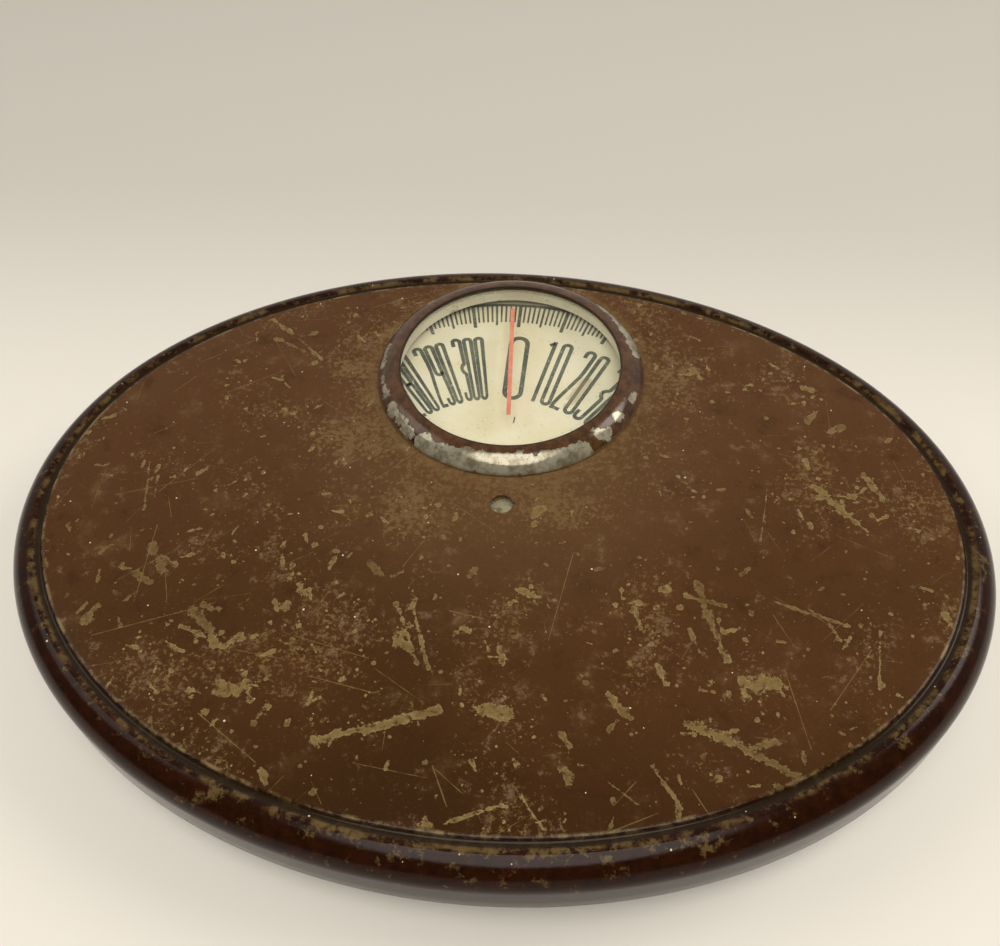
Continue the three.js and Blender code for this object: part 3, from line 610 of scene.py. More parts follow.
def brown_paint():
    """The cover's paint: deck, groove and rim, with all its wear, and painted light and shade."""
    n = Surface("worn_brown_paint", Specular_IOR_Level=0.12)
    x, y = n.apart(n.place)[:2]
    flat = n.joined(x, y)
    fine = n.swing(1.3, 4.0, 0.65)
    coarse = n.swing(0.28, 3.0, 0.55)
    shake = n.plus(fine, n.times(coarse, 2.2))
    large = n.noise(0.014, 3.0, 0.5)
    mottle = n.noise(0.085, 5.0, 0.68)
    grit = n.noise(1.0, 5.0, 0.72)
    inward = inward_mm(n, x, y)
    on_deck = n.ramp(inward, 12.6, 14.2)

    # Rim: darker and redder than the deck, with khaki wear.
    rim_mottle = n.noise(0.22, 4.0, 0.7)
    rim = n.mix(n.ramp(rim_mottle, 0.25, 0.8), RIM_DARK, RIM_RED)
    khaki_at = n.plus(n.noise(0.16, 6.0, 0.75), n.ramp(inward, 3.0, 9.5, 0.0, 0.075),
                      n.ramp(y, -90.0, -125.0, 0.0, 0.03))
    khaki_on = n.ramp(khaki_at, 0.60, 0.70, 0.0, 0.8)
    rim = n.mix(khaki_on, rim, KHAKI_RIM)
    paint = n.mix(on_deck, rim, deck_coat(n, y, large, mottle, grit))
    paint = edge_lines(n, paint, inward)

    # Speckle: a halo round the window, thickest in front of it, and patches elsewhere.
    from_window = n.vector("DISTANCE", flat, (WINDOW.x, WINDOW.y, 0))
    from_front = n.vector("DISTANCE", flat, (WINDOW.x + 4, WINDOW.y - 38, 0))
    cluster = n.noise(0.03, 3.0, 0.6)
    spread = n.plus(n.ramp(from_window, 95.0, 50.0, 0.0, 0.085), n.ramp(from_front, 95.0, 10.0, 0.0, 0.055),
                    n.ramp(cluster, 0.40, 0.70, 0.0, 0.13))
    speckle = n.ramp(n.plus(n.noise(0.55, 6.0, 0.8), spread), 0.63, 0.69)
    paint = n.mix(n.times(speckle, on_deck, 0.72), paint, KHAKI_DULL)
    smudge_at = n.plus(n.noise(0.17, 5.0, 0.72), n.times(spread, 0.5))
    smudge = n.times(n.ramp(smudge_at, 0.60, 0.68), on_deck, n.ramp(grit, 0.42, 0.58, 0.35, 1.0))
    paint = n.mix(n.times(smudge, 0.6), paint, SMUDGE)
    # Painted light: a soft lighter pool on the deck in front of the window.
    lit_pool = n.times(n.ramp(from_front, 100.0, 15.0, 0.0, 0.5), on_deck)
    paint = n.mix(lit_pool, paint, PAINT_DUST_AND_LIGHT)
    rust_ring = n.times(n.ramp(from_window, 60.0, 52.5), n.ramp(n.noise(0.2, 4.0, 0.7), 0.35, 0.6))
    paint = n.mix(n.times(rust_ring, 0.55), paint, KHAKI_DULL)

    # Chips through to the primer, with light edges, then scratches and specks.
    crowd = n.plus(n.ramp(cluster, 0.38, 0.62, 0.10, 0.55), n.ramp(y, 60.0, -40.0, 0.0, 0.12))
    x, y, chips = marked(n, x, y, shake, DECK_MARKS, CHIP_LAYERS, crowd)
    x, y, scratches = marked(n, x, y, shake, FINE_SCRATCHES, SCRATCH_LAYERS)
    chips = n.plus(chips, n.times(shake, 0.9))
    broken = n.ramp(n.noise(0.5, 4.0, 0.7), 0.36, 0.50, 0.15, 1.0)
    faded = n.ramp(n.noise(0.03, 2.0, 0.5), 0.36, 0.56, 0.55, 1.0)
    chip = n.times(n.ramp(chips, -0.1, 0.2), broken, n.ramp(inward, 13.0, 15.0), faded)
    scratches = n.plus(scratches, n.times(coarse, 0.25))
    scratch = n.times(n.ramp(scratches, -0.05, 0.12, 0.0, 0.6), on_deck)
    bare = n.mix(n.ramp(chips, 0.25, 0.9), KHAKI_LIGHT, KHAKI)
    bare = n.tint(bare, KHAKI_DEEP, grit, 0.42, 0.62, 0.7)
    around = n.times(n.ramp(chips, -1.0, -0.1), on_deck, 0.15)
    paint = n.mix(around, paint, PAINT_DARK)
    paint = n.mix(scratch, paint, KHAKI)
    paint = n.mix(chip, paint, bare)
    specks = marked(n, x, y, shake, layers=SPECK_LAYERS)[2]
    paint = n.tint(paint, WHITE_SPECK, specks, -0.05, 0.1)

    dull = n.most(n.ramp(chips, -0.06, 0.14), smudge, n.times(speckle, 0.7))
    deck_rough = n.plus(n.ramp(large, 0.3, 0.7, 0.077, 0.098), n.times(dull, 0.034))
    rim_rough = n.plus(n.ramp(rim_mottle, 0.3, 0.7, 0.077, 0.106), n.times(khaki_on, 0.026),
                       n.ramp(inward, 3.5, 0.2, 0.0, 0.064))
    relief = n.plus(n.times(mottle, 0.5), n.times(grit, 0.3))
    return n.made(paint, n.between(on_deck, rim_rough, deck_rough), Normal=n.bump(relief, 0.2, 0.6))


# ---------------- bezel

# Bare metal on the bezel: along, radius, along, radius, width and raggedness, in mm. Along is
# round the bezel from its front point, towards the right, measured on a circle of UNROLL_R.
UNROLL_R = 50.0
BEZEL_BARE = [
    (-31, 51.6, 34, 51.6, 4.8, 0.35), (-13, 49.4, 12, 49.4, 4.4, 0.6), (13, 50.0, 32, 50.8, 3.8, 0.7),
    (-29, 50.8, -13, 50.2, 3.8, 0.7), (-52, 50.6, -37, 51.4, 3.4, 0.9), (-68, 51.3, -58, 51.0, 2.8, 1.0),
    (-86, 51.6, -74, 51.3, 2.4, 1.0), (41, 50.2, 46, 51.2, 3.6, 1.0), (52, 50.2, 55, 51.0, 3.0, 1.0),
    (63, 50.6, 68, 51.2, 1.8, 1.1), (88, 50.8, 119, 51.2, 4.4, 0.8), (124, 52.2, 127, 52.2, 1.4, 1.0),
    (136, 52.6, 142, 52.6, 1.4, 1.0), (149, 52.9, 157, 52.9, 1.6, 0.9),
    (-157, 52.9, -150, 52.9, 1.6, 0.9), (-142, 52.4, -126, 52.2, 2.6, 1.0),
    (-116, 50.0, -112, 50.6, 1.6, 1.1), (-100, 52.0, -94, 52.0, 1.6, 1.1),
]


def bezel_metal():
    """Brown paint with bare metal where it has flaked off, khaki at the foot, and painted shade at the
    lens's edge.
    """
    n = Surface("flaked_bezel", Specular_IOR_Level=0.4)
    x, y, z = n.apart(n.vector("SUBTRACT", n.place, (WINDOW.x, WINDOW.y, 0)))
    radius = n.math("SQRT", n.plus(n.times(x, x), n.times(y, y)))
    along = n.times(n.math("ARCTAN2", x, n.times(y, -1.0)), UNROLL_R)
    fine = n.swing(0.7, 5.0, 0.75)
    coarse = n.swing(0.2, 3.0, 0.55)
    shake = n.plus(n.times(fine, 1.8), n.times(coarse, 2.6))
    bare_at = marked(n, along, radius, shake, BEZEL_BARE)[2]
    bare = n.ramp(n.plus(bare_at, n.times(shake, 0.5)), -0.05, 0.12)
    mottle = n.noise(0.25, 4.0, 0.65)
    grit = n.noise(1.1, 4.0, 0.7)
    low = n.ramp(z, DECK_Z + 2.2, DECK_Z + 0.5)

    paint = n.mix(n.ramp(mottle, 0.35, 0.65), BEZEL_BROWN, BEZEL_DARK)
    paint = n.tint(paint, KHAKI_DULL, grit, 0.58, 0.72, 0.5)
    worn_dark = n.times(n.ramp(radius, 48.5, 51.0), n.ramp(n.noise(0.1, 3.0, 0.6), 0.42, 0.6))
    paint = n.mix(n.times(worn_dark, 0.8), paint, RIM_RED)
    paint = n.mix(n.times(low, n.ramp(mottle, 0.35, 0.6, 0.3, 0.9)), paint, KHAKI_DULL)

    metal = n.mix(n.ramp(mottle, 0.38, 0.66), SILVER, SILVER_DULL)
    pits = n.ramp(n.noise(0.8, 4.0, 0.75), 0.59, 0.67)
    metal = n.mix(n.times(pits, 0.8), metal, GRIME_AND_SHADE)
    metal = n.mix(n.times(low, 0.6), metal, KHAKI_DEEP)

    base = n.mix(bare, paint, metal)
    # Painted shade: a dark line on the inner lip, where it meets the lens.
    base = n.tint(base, GRIME_AND_SHADE, radius, LENS_SEEN_R + 0.9, LENS_SEEN_R + 0.5, 0.85)
    clean = n.times(bare, n.less(1.0, n.times(pits, 0.9)))
    paint_rough = n.ramp(grit, 0.35, 0.65, 0.094, 0.123)
    metal_rough = n.ramp(mottle, 0.3, 0.7, 0.098, 0.132)
    relief = n.plus(n.less(1.0, bare), n.times(mottle, 0.4), n.times(grit, 0.2))
    return n.made(base, n.between(bare, paint_rough, metal_rough), Metallic=n.times(clean, 0.3),
                  Normal=n.bump(relief, 0.16, 0.8))


# ---------------- dial, lens and pointer

DIRT_LAYERS = [((0, 0, 0), 3.4, 0.3, 0.42, 0.5, 1.0)]
PAPER_RUBS = [(26, 59, 31, 69, 5.0, 0.8), (23, 55, 29, 60, 2.0, 0.8)]
INK_RUBS = [(25, 57, 29, 68, 5.5, 0.8)]
BLUE_STAINS = [(-38, 59, -35, 54, 1.6, 0.8)]


def dial_shake(n):
    return n.times(n.swing(0.8, 3.0, 0.6), 2.0)


def dial_paint():
    """Cream paint, yellowed and dirty, with a rubbed place and a faint blue stain."""
    n = Surface("aged_dial_paint", Specular_IOR_Level=0.3)
    x, y = n.apart(n.place)[:2]
    stain = n.noise(0.035, 4.0, 0.6)
    grit = n.noise(0.75, 5.0, 0.75)
    shake = dial_shake(n)
    base = n.mix(n.ramp(stain, 0.3, 0.7), DIAL_CREAM, DIAL_YELLOW)
    base = n.tint(base, DIAL_DIRT, grit, 0.60, 0.74, 0.45)
    dots = marked(n, x, y, shake, layers=DIRT_LAYERS)[2]
    base = n.tint(base, DIAL_DIRT, dots, -0.08, 0.08, 0.55)
    base = n.tint(base, DIAL_DIRT, marked(n, x, y, shake, PAPER_RUBS)[2], -0.8, 0.8, 0.4)
    base = n.tint(base, BLUE_STAIN, marked(n, x, y, shake, BLUE_STAINS)[2], -0.6, 0.6, 0.5)
    return n.made(base, n.ramp(stain, 0.3, 0.7, 0.42, 0.6), Normal=n.bump(grit, 0.05, 0.4))


def dial_ink():
    """Faded ink with the dial's paint showing through."""
    n = Surface("worn_dial_ink", Specular_IOR_Level=0.3)
    x, y = n.apart(n.place)[:2]
    wear = n.noise(0.9, 5.0, 0.75)
    patch = n.noise(0.09, 3.0, 0.6)
    ink = n.mix(n.ramp(patch, 0.35, 0.65), INK, INK_PALE)
    ink = n.tint(ink, DIAL_CREAM, wear, 0.56, 0.70, 0.75)
    ink = n.tint(ink, DIAL_DIRT, marked(n, x, y, dial_shake(n), INK_RUBS)[2], -0.6, 1.0, 0.7)
    return n.made(ink, n.ramp(wear, 0.3, 0.7, 0.4, 0.6))


def clear_lens():
    """A film of dust and haze, thicker at the edge, on the outer faces of a clear piece."""
    n = Surface("clear_lens", IOR=1.49)
    dust = n.ramp(n.noise(1.6, 4.0, 0.75), 0.64, 0.76)
    haze = n.noise(0.05, 4.0, 0.6)
    from_middle = n.vector("DISTANCE", n.place, (WINDOW.x, WINDOW.y, lens_high.z))
    edge = n.ramp(from_middle, LENS_SEEN_R - 0.2, LENS_SEEN_R + 1.8, 0.0, 0.25)
    outer_face = n.less(1.0, n.add("ShaderNodeNewGeometry").outputs["Backfacing"])
    film = n.plus(0.05, edge, n.times(dust, 0.10), n.ramp(haze, 0.35, 0.75, 0.0, 0.02))
    base = n.mix(dust, colour(240, 238, 226), colour(210, 204, 184))
    metallic = n.less(1.0, n.times(dust, 0.9))
    return n.made(base, n.ramp(haze, 0.3, 0.7, 0.03, 0.1), Metallic=metallic,
                  Alpha=n.times(outer_face, film))


def red_pointer():
    """Faded red."""
    n = Surface("salmon_pointer")
    fade = n.noise(0.25, 4.0, 0.65)
    base = n.mix(n.ramp(fade, 0.35, 0.7), colour(214, 122, 92), colour(222, 150, 120))
    return n.made(base, n.ramp(fade, 0.3, 0.7, 0.4, 0.55))


# ---------------- plain metals, rubber and plastic


def aged(name, main, other, spots, metallic, rough, spot_share=0.64, bump_mm=0.09):
    """A finish in two tones with spots of dirt or rust."""
    n = Surface(name)
    main, other, spots = colour(*main), colour(*other), colour(*spots)
    tone = n.noise(0.06, 4.0, 0.6)
    grain = n.noise(1.2, 4.0, 0.7)
    blot = n.noise(0.22, 5.0, 0.72)
    spotted = n.ramp(blot, spot_share - 0.05, spot_share + 0.04)
    base = n.mix(n.ramp(tone, 0.35, 0.65), main, other)
    base = n.tint(base, spots, grain, 0.5, 0.72, 0.3)
    base = n.mix(n.times(spotted, 0.75), base, spots)
    roughness = n.plus(n.ramp(grain, 0.3, 0.7, rough - 0.06, rough + 0.06), n.times(spotted, 0.2))
    return n.made(base, roughness, Metallic=n.times(n.less(1.0, n.times(spotted, 0.7)), metallic),
                  Normal=n.bump(n.plus(grain, blot), bump_mm, 0.5))


LOOKS = {
    "brown_paint": brown_paint(),
    "bezel_metal": bezel_metal(),
    "dial_paint": dial_paint(),
    "lens": clear_lens(),
    "red_pointer": red_pointer(),
    "dark_paint": aged("dark_pan_paint", (34, 24, 18), (26, 19, 14), (80, 54, 32), 0.0, 0.66),
    "zinc_steel": aged("dull_zinc", (168, 165, 150), (132, 128, 112), (96, 70, 44), 0.85, 0.42),
    "spring_steel": aged("oiled_steel", (118, 114, 106), (84, 80, 74), (74, 52, 34), 0.9, 0.35),
    "brass": aged("dull_brass", (186, 152, 84), (150, 118, 62), (84, 66, 36), 0.9, 0.35),
    "rubber": aged("black_rubber", (40, 39, 37), (54, 52, 48), (96, 90, 78), 0.0, 0.75, 0.68),
    "black_plastic": aged("black_plastic", (30, 29, 28), (40, 38, 35), (82, 76, 66), 0.0, 0.4, 0.7),
}
INK_LOOK = dial_ink()
# Painted light: a pale cream on the lens's gasket and retaining ring, far lighter than rubber or zinc,
# brightens the shaded wall above the dial.
SEAT_PAINTED_LIGHT_LOOK = aged("yellowed_seat", (238, 233, 210), (226, 219, 190), (150, 138, 104), 0.0, 0.6)
CAP_LOOK = aged("worn_cap", (184, 178, 146), (160, 152, 120), (104, 92, 62), 0.1, 0.6, 0.60, 0.18)

# ---------------- platform


def cover_outline(inset):
    """The pressed sheet from the skirt's edge to the inside of the groove, moved inwards."""
    roll_middle = OUTER_Y - ROLL_R
    roll_z = DECK_Z - ROLL_R
    groove = OUTER_Y - GROOVE_IN
    floor_z = DECK_Z - GROOVE_DEEP
    crest = arc(roll_middle, roll_z, ROLL_R - inset, 0, 80, 26)
    soft = 0.55
    dip = [
        (groove + GROOVE_HALF * 0.75, floor_z + 0.35 - inset),
        (groove + GROOVE_HALF * 0.35, floor_z - inset),
        (groove - GROOVE_HALF * 0.35, floor_z - inset),
        (groove - GROOVE_HALF * 0.75, floor_z + 0.3 - inset),
    ]
    shoulder = [(groove - GROOVE_HALF - soft * a, DECK_Z - inset - soft * b)
                for a, b in ((0.0, 1.0), (0.3, 0.35), (1.0, 0.05), (2.0, 0.0))]
    return crest + dip + shoulder


def platform_cover():
    """The pressed cover, with a rounded lower edge, the window's hole and the peep hole."""
    edge = [
        (OUTER_Y - 1.0, SKIRT_Z + 0.1), (OUTER_Y - 0.8, SKIRT_Z), (OUTER_Y - 0.4, SKIRT_Z),
        (OUTER_Y - 0.1, SKIRT_Z + 0.2), (OUTER_Y, SKIRT_Z + 0.6), (OUTER_Y, SKIRT_Z + 6),
    ]
    outside = edge + cover_outline(0) + [(0, DECK_Z)]
    inside = [(0, DECK_Z - SHEET)] + cover_outline(SHEET)[::-1] + [(OUTER_Y - SHEET, SKIRT_Z + 0.6)]
    made = turned("platform_shell", outside + inside, 320, half_x=oval(LONGER, PLAIN_Y))
    # The window, the peep hole and a nick in the peep hole's right edge.
    holes = ((HOLE_R, WINDOW.x, WINDOW.y, 192), (PEEP_R, PEEP_X, 0, 48), (0.9, PEEP_X + PEEP_R, 0.4, 24))
    cut_away(made, [upright_cutter(radius, x, y, DECK_Z - 8, DECK_Z + 4, segments)
                    for radius, x, y, segments in holes])
    hand_over(made, "platform", "brown_paint", "platform_cover")


def window_bezel():
    """The ring on the deck, with a neck through the deck's hole and four tabs bent under it."""
    neck_r = HOLE_R - 0.4
    neck_in = neck_r - 1
    neck_end = bezel_low.z
    lip_low = lens_high.z - LENS_DOME + 0.4
    outline = [
        (neck_in, neck_end), (neck_r, neck_end), (neck_r, DECK_Z + 0.4), (BEZEL_R - 0.3, DECK_Z + 0.4),
        (BEZEL_R - 0.06, DECK_Z + 0.52),
    ]
    outline += arc(LENS_SEEN_R, BEZEL_TOP - BEZEL_ROUND_R, BEZEL_ROUND_R, 27, 87, 36)
    outline += [
        (LENS_SEEN_R + 0.15, BEZEL_TOP - 0.08), (LENS_SEEN_R, BEZEL_TOP - 0.3), (LENS_SEEN_R, lip_low),
        (neck_in, lip_low),
    ]
    made = turned("bezel_ring", outline, 256, WINDOW.xy)
    tabs = [bezel_tab(neck_in, neck_r + 4.5, neck_end, math.radians(turn)) for turn in (45, 135, 225, 315)]
    joined = join_meshes(made, tabs)
    hand_over(joined, "platform", "bezel_metal", "window_bezel")


def bezel_tab(inner, outer, z0, turn):
    """A tab of the bezel's neck, bent outwards under the deck, with rounded corners."""
    half = 5
    corner = 1.6
    outline = [(inner, -half)]
    outline += arc(outer - corner, corner - half, corner, -90, 0, 6)
    outline += arc(outer - corner, half - corner, corner, 0, 90, 6)
    outline += [(inner, half)]
    cos, sin = math.cos(turn), math.sin(turn)
    spot = [(WINDOW.x + u * cos - v * sin, WINDOW.y + u * sin + v * cos) for u, v in outline]
    return slab("tab", spot, z0, z0 + 1.2)


def slab(name, outline, z0, z1):
    """A flat plate with this outline."""
    count = len(outline)
    vertices = [(x, y, z) for z in (z0, z1) for x, y in outline]
    faces = [tuple(range(count)), tuple(range(2 * count - 1, count - 1, -1))]
    faces += [(i, (i + 1) % count, count + (i + 1) % count, count + i) for i in range(count)]
    return new_object(name, vertices, faces)


def join_meshes(first, others):
    """One mesh object out of several."""
    work = bmesh.new()
    for made in [first, *others]:
        work.from_mesh(made.data)
    work.to_mesh(first.data)
    work.free()
    for made in others:
        bpy.data.objects.remove(made)
    shade(first)
    return first


def window_lens():
    """A slightly domed lens of even thickness."""
    radii = [LENS_R * i / 24 for i in range(25)]
    edge_top = lens_high.z - LENS_DOME
    over = [(r, edge_top + LENS_DOME * (1 - (r / LENS_R) ** 2)) for r in radii]
    under = [(r, z - LENS_THICK) for r, z in over]
    made = turned("domed_lens", under + over[::-1], 128, WINDOW.xy)
    hand_over(made, "platform", "lens", "window_lens")


def pointer():
    """The hair line, a little right of the middle and leaning to the left."""
    lean = math.radians(3.7)
    width = 1.7
    low, high, middle = box_mm("pointer_line")
    middle = Vector((middle.x + 0.8, middle.y))
    along = Vector((-math.sin(lean), math.cos(lean)))
    path = [middle + along * s for s in (-29.8, -20, -8, 4, 16, 28, 29.9)]
    vertices, faces = ribbon([(width, path)], low.z + 0.1, high.z - 0.05)
    made = new_object("hair_line", vertices, faces)
    hand_over(made, "platform", "red_pointer", "pointer_line")


def seat_rings():
    """The gasket under the lens and the ring that holds it, with eased edges."""
    inner = 45.6
    ease = 0.2
    for name, node, slot in (
        ("lens_seat", "lens_gasket", "rubber"),
        ("retaining_ring", "bezel_retainer", "zinc_steel"),
    ):
        low, high, _ = box_mm(node)
        outer = (high.x - low.x) / 2
        outline = [
            (inner + ease, low.z), (outer - ease, low.z), (outer, low.z + ease), (outer, high.z - ease),
            (outer - ease, high.z), (inner + ease, high.z), (inner, high.z - ease), (inner, low.z + ease),
        ]
        made = turned(name, outline, 128, WINDOW.xy)
        # Both rings take the pale cream of painted light.
        hand_over(made, "platform", slot, node, SEAT_PAINTED_LIGHT_LOOK)


# ---------------- dial

DIVISIONS = 31
RING_R = 105
TICK_OUT = 103.6
DIGIT_TOP = 85
DIGIT_TALL = 36.5
# By the count of digits: stroke, half width of a digit, pitch, shift to the right, taper inwards.
NUMBER_SIZES = {
    1: (2.0, 3.5, 0.0, 0.9, 0.15),
    2: (1.7, 1.75, 6.2, 1.8, 0.25),
    3: (1.75, 1.5, 4.9, -4.9, 0.88),
}
# How many ticks apart, width and inner radius: the first that fits a tick is its size.
TICK_SIZES = ((10, 1.5, 90.7), (5, 0.95, 91.7), (1, 0.8, 93.6))
# How far the ticks and the numbers are turned from their true places, in degrees.
TICK_TURN = 0.15
NUMBER_TURN = 0.5


def glyph(digit, a, h):
    """The strokes of a tall narrow digit: a is half its width and h its height, both to the
    middle of the stroke."""
    top = arc(0, h - a, a, 180, 0, 12)
    bottom = arc(0, a, a, 0, -180, 12)
    if digit == "0":
        return [top + bottom + [(-a, h - a)]]
    if digit == "1":
        return [[(-a * 0.8, h - 2.2), (a * 0.3, h - 0.4)], [(a * 0.35, h + 0.4), (a * 0.35, 0)]]
    if digit == "2":
        sweep = [(a * u, h * v) for u, v in
                 ((1, 0.66), (0.86, 0.56), (0.1, 0.36), (-0.7, 0.16), (-1, 0.05), (-1, 0), (1.2, 0))]
        return [[(-a, h - a - 2.4)] + top + sweep]
    if digit == "3":
        upper = [(-a, h - a - 2.6)] + top + [(a, h * 0.60)] + arc(0, h * 0.60, a, 0, -70, 6)
        lower = arc(0, h * 0.40, a, 70, 0, 6) + bottom + [(-a, a + 2.6)]
        return [upper + [(-a * 0.2, h * 0.5)], [(-a * 0.2, h * 0.5)] + lower]
    if digit == "4":
        return [[(a * 0.5, 0), (a * 0.5, h), (-a, h * 0.27), (a * 1.2, h * 0.27)]]
    if digit == "5":
        bowl = arc(0, h * 0.52, a, 150, 0, 10) + bottom
        return [[(a, h), (-a, h), (-a, h * 0.56)] + bowl + [(-a, a + 2.2)]]
    if digit == "6":
        head = [(a, h - a - 2.2)] + top[::-1] + bottom[::-1]
        return [head + [(a, h * 0.5 - a)] + arc(0, h * 0.5 - a, a, 0, 180, 12)]
    if digit == "7":
        return [[(-a, h), (a, h), (a * 0.9, h * 0.8), (-a * 0.2, h * 0.3), (-a * 0.3, 0)]]
    if digit == "8":
        waist = h * 0.52
        upper = arc(0, h - a, a, 180, 0, 12) + arc(0, waist + a, a, 0, -180, 12) + [(-a, h - a)]
        lower = arc(0, waist - a, a, 180, 0, 12) + bottom + [(-a, waist - a)]
        return [upper, lower]
    return [[(-x, h - y) for x, y in stroke] for stroke in glyph("6", a, h)]


def number_mesh(text, turn, z0, z1):
    """One number, its top outwards, turn degrees clockwise from the back. It tapers towards the
    middle of the dial, where the numbers are close together."""
    stroke, half, pitch, shift, taper = NUMBER_SIZES[len(text)]
    strokes = []
    for i, digit in enumerate(text):
        across = shift + (i - (len(text) - 1) / 2) * pitch
        for path in glyph(digit, half, DIGIT_TALL - stroke):
            strokes.append((stroke, [(across + u, stroke / 2 + v) for u, v in path]))
    vertices, faces = ribbon(strokes, z0, z1)
    a = math.radians(turn)
    out = Vector((math.sin(a), math.cos(a)))
    right = Vector((math.cos(a), -math.sin(a)))
    middle = DIAL.xy
    placed = []
    for u, v, z in vertices:
        radius = DIGIT_TOP - DIGIT_TALL + v
        narrow = 1 - taper + taper * radius / DIGIT_TOP
        at = middle + right * u * narrow + out * radius
        placed.append((at.x, at.y, z))
    return new_object("number", placed, faces)


def radial(width, turn, start, end):
    """A straight stroke along a radius of the dial, turn degrees clockwise from the back."""
    a = math.radians(turn)
    out = Vector((math.sin(a), math.cos(a)))
    middle = DIAL.xy
    return width, [middle + out * start, middle + out * end]


def dial_print():
    """Ticks, numbers, the ring that joins the ticks, and a short dash below the 0."""
    strokes = []
    for i in range(DIVISIONS * 10):
        width, inner = next(size[1:] for size in TICK_SIZES if i % size[0] == 0)
        strokes.append(radial(width, i * 36 / DIVISIONS + TICK_TURN, TICK_OUT, inner))
    strokes.append(radial(0.5, 5, 36.4, 39.6))
    z0, z1 = DIAL_TOP + 0.03, DIAL_TOP + 0.08
    printed = new_object("dial_print", *ribbon(strokes, z0, z1))
    numbers = [number_mesh(str(i * 10), i * 360 / DIVISIONS + NUMBER_TURN, z0, z1)
               for i in range(DIVISIONS)]
    ring_in = TICK_OUT - 0.1
    ring = turned("ring", [(ring_in, z0), (RING_R, z0), (RING_R, z1), (ring_in, z1)], 360, DIAL.xy)
    printed = join_meshes(printed, [*numbers, ring])
    printed.data.materials.append(INK_LOOK)
    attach(printed, "dial")


def dial_disc():
    """The dial's plate, with a rounded outer edge and a bore for the hub."""
    low, high = dial_low.z, dial_high.z
    bore = 5.4
    bead = 0.25
    outline = [
        (bore, low), (DIAL_R - bead, low), (DIAL_R, low + bead), (DIAL_R, high - bead),
        (DIAL_R - bead, high), (bore, high),
    ]
    made = turned("dial_plate", outline, 256, (DIAL.x, DIAL.y))
    hand_over(made, "dial", "dial_paint", "dial_disc")


# ---------------- base

FOOT_MIDDLES = [box_mm(f"foot_{end}_{side}")[2] for end in ("front", "rear") for side in ("left", "right")]
FOOT_HOLE_R = 3.4
SCREW_HOLE_R = 2.6


def base_pan():
    """The lower pan: a rounded edge, a pressed bead round its floor, and holes for the feet
    and the zero screw."""
    corner = 4
    edge_y = pan_high.y
    floor_z = pan_low.z
    bead_r = edge_y - 20
    bead = [(bead_r - 5, 0), (bead_r - 3.4, 0.4), (bead_r - 2, 1.1), (bead_r, 1.4), (bead_r + 2, 1.1),
            (bead_r + 3.4, 0.4), (bead_r + 5, 0)]
    under = [(0, floor_z)] + [(r, floor_z - drop) for r, drop in bead]
    under += arc(edge_y - corner, floor_z + corner, corner, 270, 360, 12)
    rim = [(edge_y, pan_high.z - 0.3), (edge_y - 0.3, pan_high.z), (edge_y - SHEET + 0.3, pan_high.z),
           (edge_y - SHEET, pan_high.z - 0.3)]
    over = arc(edge_y - corner, floor_z + corner, corner - SHEET, 360, 270, 12)
    over += [(r, floor_z + SHEET - drop) for r, drop in bead[::-1]] + [(0, floor_z + SHEET)]
    half_x = oval(pan_high.x - pan_high.y, edge_y - corner - 2)
    made = turned("pressed_pan", under + rim + over, 240, half_x=half_x)
    cutters = [upright_cutter(FOOT_HOLE_R, middle.x, middle.y, floor_z - 3, floor_z + 4, 32)
               for middle in FOOT_MIDDLES]
    screw = upright_cutter(SCREW_HOLE_R, 0, 0, -6, 6, 32)
    screw.data.transform(Matrix.Rotation(math.pi / 2, 4, "X"))
    screw.data.transform(Matrix.Translation((0, edge_y * MM, KNOB.z * MM)))
    cut_away(made, cutters + [screw])
    hand_over(made, "base", "dark_paint", "base_pan")


def zero_knob():
    """A disc with rounded ridges round its edge and a shallow dish in its outer face."""
    radius = KNOB.z - knob_low.z
    y0, y1 = knob_low.y, knob_high.y
    bore = 2.3
    levels = [(bore, y0), (radius - 0.5, y0), (radius, y0 + 0.45), (radius, y1 - 0.45), (radius - 0.5, y1),
              (radius - 1.4, y1), (radius - 2.0, y1 - 0.35), (bore + 0.8, y1 - 0.35), (bore, y1 - 0.1)]
    segments = 160
    ridges = 20
    ridge_deep = 0.5
    vertices = []
    for r, y in levels:
        for i in range(segments):
            a = 2 * math.pi * i / segments
            deep = ridge_deep * (0.5 - 0.5 * math.cos(ridges * a)) if r > radius - 1 else 0.0
            vertices.append(((r - deep) * math.cos(a), y, KNOB.z + (r - deep) * math.sin(a)))
    faces = []
    count = len(levels)
    for k in range(count):
        m = (k + 1) % count
        for i in range(segments):
            j = (i + 1) % segments
            faces.append((k * segments + i, k * segments + j, m * segments + j, m * segments + i))
    made = new_object("ridged_knob", vertices, faces)
    hand_over(made, "zero_knob", "black_plastic", "zero_knob")


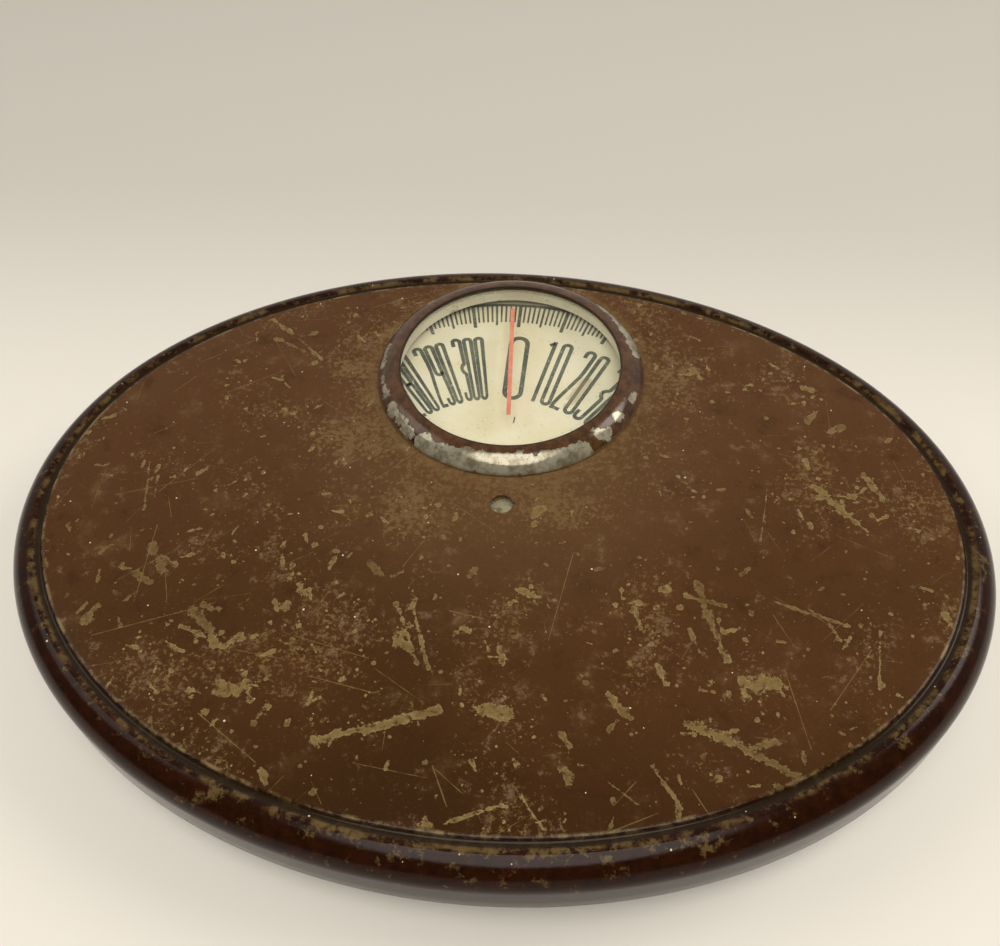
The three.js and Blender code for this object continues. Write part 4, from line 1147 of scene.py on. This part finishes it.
def coil_path(x, z, rear, front, ring_r, coil_r, wire_r, coils):
    """An extension spring along Y: a ring through a hole at each end, joined by coils."""

    def ring(centre_y, sign, start, end):
        return [(x + u, centre_y + sign * v, z) for u, v in arc(0, 0, ring_r, start, end, 16)]

    front_middle = front + ring_r
    rear_middle = rear - ring_r
    coil_from = front_middle + ring_r + wire_r * 5
    coil_to = rear_middle - ring_r - wire_r * 5
    lead = (x - ring_r * 0.8, z + coil_r * 0.3)
    points = ring(front_middle, -1, -40, 150)
    points.append((lead[0], front_middle + ring_r + wire_r * 2, lead[1]))
    steps = coils * 24
    for i in range(steps + 1):
        a = math.radians(135 - 15 * i)
        y = coil_from + (coil_to - coil_from) * i / steps
        points.append((x + coil_r * math.cos(a), y, z + coil_r * math.sin(a)))
    points.append((lead[0], rear_middle - ring_r - wire_r * 2, lead[1]))
    return points + ring(rear_middle, 1, 150, -40)


def spring(name, node, ends, wire_r, ring_r, coil_r, coils, sides):
    """A coil between these ends in y, rear and front, baked in place and not attached to a body. In
    the scale one end stays with the base and the other moves."""
    middle = box_mm(node)[2]
    path = coil_path(middle.x, middle.z, *ends, ring_r, coil_r, wire_r, coils)
    made = tube(name, path, wire_r, sides)
    made.data.materials.append(LOOKS["spring_steel"])
    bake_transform(made)
    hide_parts(node)


def springs():
    """The main spring, from the anchor to the bell crank, and the rack's light return spring."""
    low, high, _ = box_mm("main_spring")
    spring("main_coil", "main_spring", (high.y - 0.5, low.y + 0.6),
           wire_r=0.6, ring_r=3.6, coil_r=5.2, coils=7, sides=12)
    low, high, _ = box_mm("rack_spring")
    spring("rack_coil", "rack_spring", (high.y - 0.2, low.y + 0.2),
           wire_r=0.33, ring_r=2.2, coil_r=2.2, coils=12, sides=8)


# ---------------- build

platform_cover()
window_bezel()
window_lens()
pointer()
seat_rings()
dial_disc()
dial_print()
base_pan()
zero_knob()
springs()

# Every CAD node left in view takes the look of its slot, and the dial's cap a more worn one.
for name, node in frame["nodes"].items():
    for place in node.material_slots:
        place.material = CAP_LOOK if name == "dial_cap" else LOOKS[place.material.name.split(".")[0]]

# ---------------- floor, light and camera


def floor():
    """A pale floor, darker behind the scale as painted shade."""
    n = Surface("pale_floor")
    pale = n.mix(n.noise(0.004, 3.0, 0.5), colour(236, 231, 221), colour(229, 224, 214))
    # Painted shade: the floor darkens towards the back.
    base = n.mix(n.ramp(n.apart(n.place)[1], 40.0, 260.0), pale, colour(203, 198, 188))
    half = 2500
    ground = slab("studio_floor", [(-half, -half), (half, -half), (half, half), (-half, half)], -2, 0)
    ground.data.materials.append(n.made(base, 0.6))


def area_light(name, place, size, power, tint):
    """A round light, in metres and watts, that points at the middle of the floor."""
    light = bpy.data.lights.new(name, "AREA")
    light.shape = "DISK"
    light.size = size
    light.energy = power
    light.color = tint
    made = bpy.data.objects.new(name, light)
    bpy.context.scene.collection.objects.link(made)
    made.location = place
    made.rotation_euler = (-Vector(place)).to_track_quat("-Z", "Y").to_euler()


def world():
    """Bright behind, a little less so overhead, and dim in front."""
    made = bpy.data.worlds.new("studio")
    made.use_nodes = True
    bpy.context.scene.world = made
    n = Nodes(made.node_tree)
    background = made.node_tree.nodes["Background"].inputs
    y, z = n.apart(n.add("ShaderNodeTexCoord").outputs["Generated"])[1:]
    level = n.times(n.ramp(y, -0.45, 0.75), n.ramp(z, 0.5, 0.95, 1.0, 0.62))
    n.feed(background["Color"], n.mix(level, (0.09, 0.075, 0.06, 1), (1.0, 0.965, 0.91, 1)))
    background["Strength"].default_value = 0.62


# Degrees down from level, to the left, and about the line of sight, and the place in metres.
CAMERA_TURNS = (51.70, 7.535, -2.098)
CAMERA_PLACE = (0.0304, -0.2148, DECK_Z * MM + 0.2924)


def camera():
    """Above the front edge, looking down at the deck and a little to the left."""
    data = bpy.data.cameras.new("camera")
    data.sensor_width = 36
    data.lens = 36
    data.clip_start = 0.01
    data.shift_x = 0.0024
    made = bpy.data.objects.new("camera", data)
    bpy.context.scene.collection.objects.link(made)
    pitch, yaw, roll = (math.radians(a) for a in CAMERA_TURNS)
    turn = Matrix.Rotation(yaw, 3, "Z")
    right = turn @ Vector((1, 0, 0))
    ahead = turn @ Vector((0, math.cos(pitch), -math.sin(pitch)))
    above = turn @ Vector((0, math.sin(pitch), math.cos(pitch)))
    image_right = math.cos(roll) * right + math.sin(roll) * above
    image_up = math.cos(roll) * above - math.sin(roll) * right
    pose = Matrix((image_right, image_up, -ahead)).transposed().to_4x4()
    pose.translation = Vector(CAMERA_PLACE)
    made.matrix_world = pose
    bpy.context.scene.camera = made


floor()
area_light("ceiling", (0.1, -0.75, 1.7), 1.5, 26, (1.0, 0.965, 0.91))
area_light("key", (1.25, 0.45, 1.25), 0.8, 9, (1.0, 0.96, 0.90))
area_light("fill", (-1.2, 0.1, 1.3), 1.0, 5, (1.0, 0.97, 0.92))
world()
camera()
bpy.context.scene.view_settings.view_transform = "Standard"
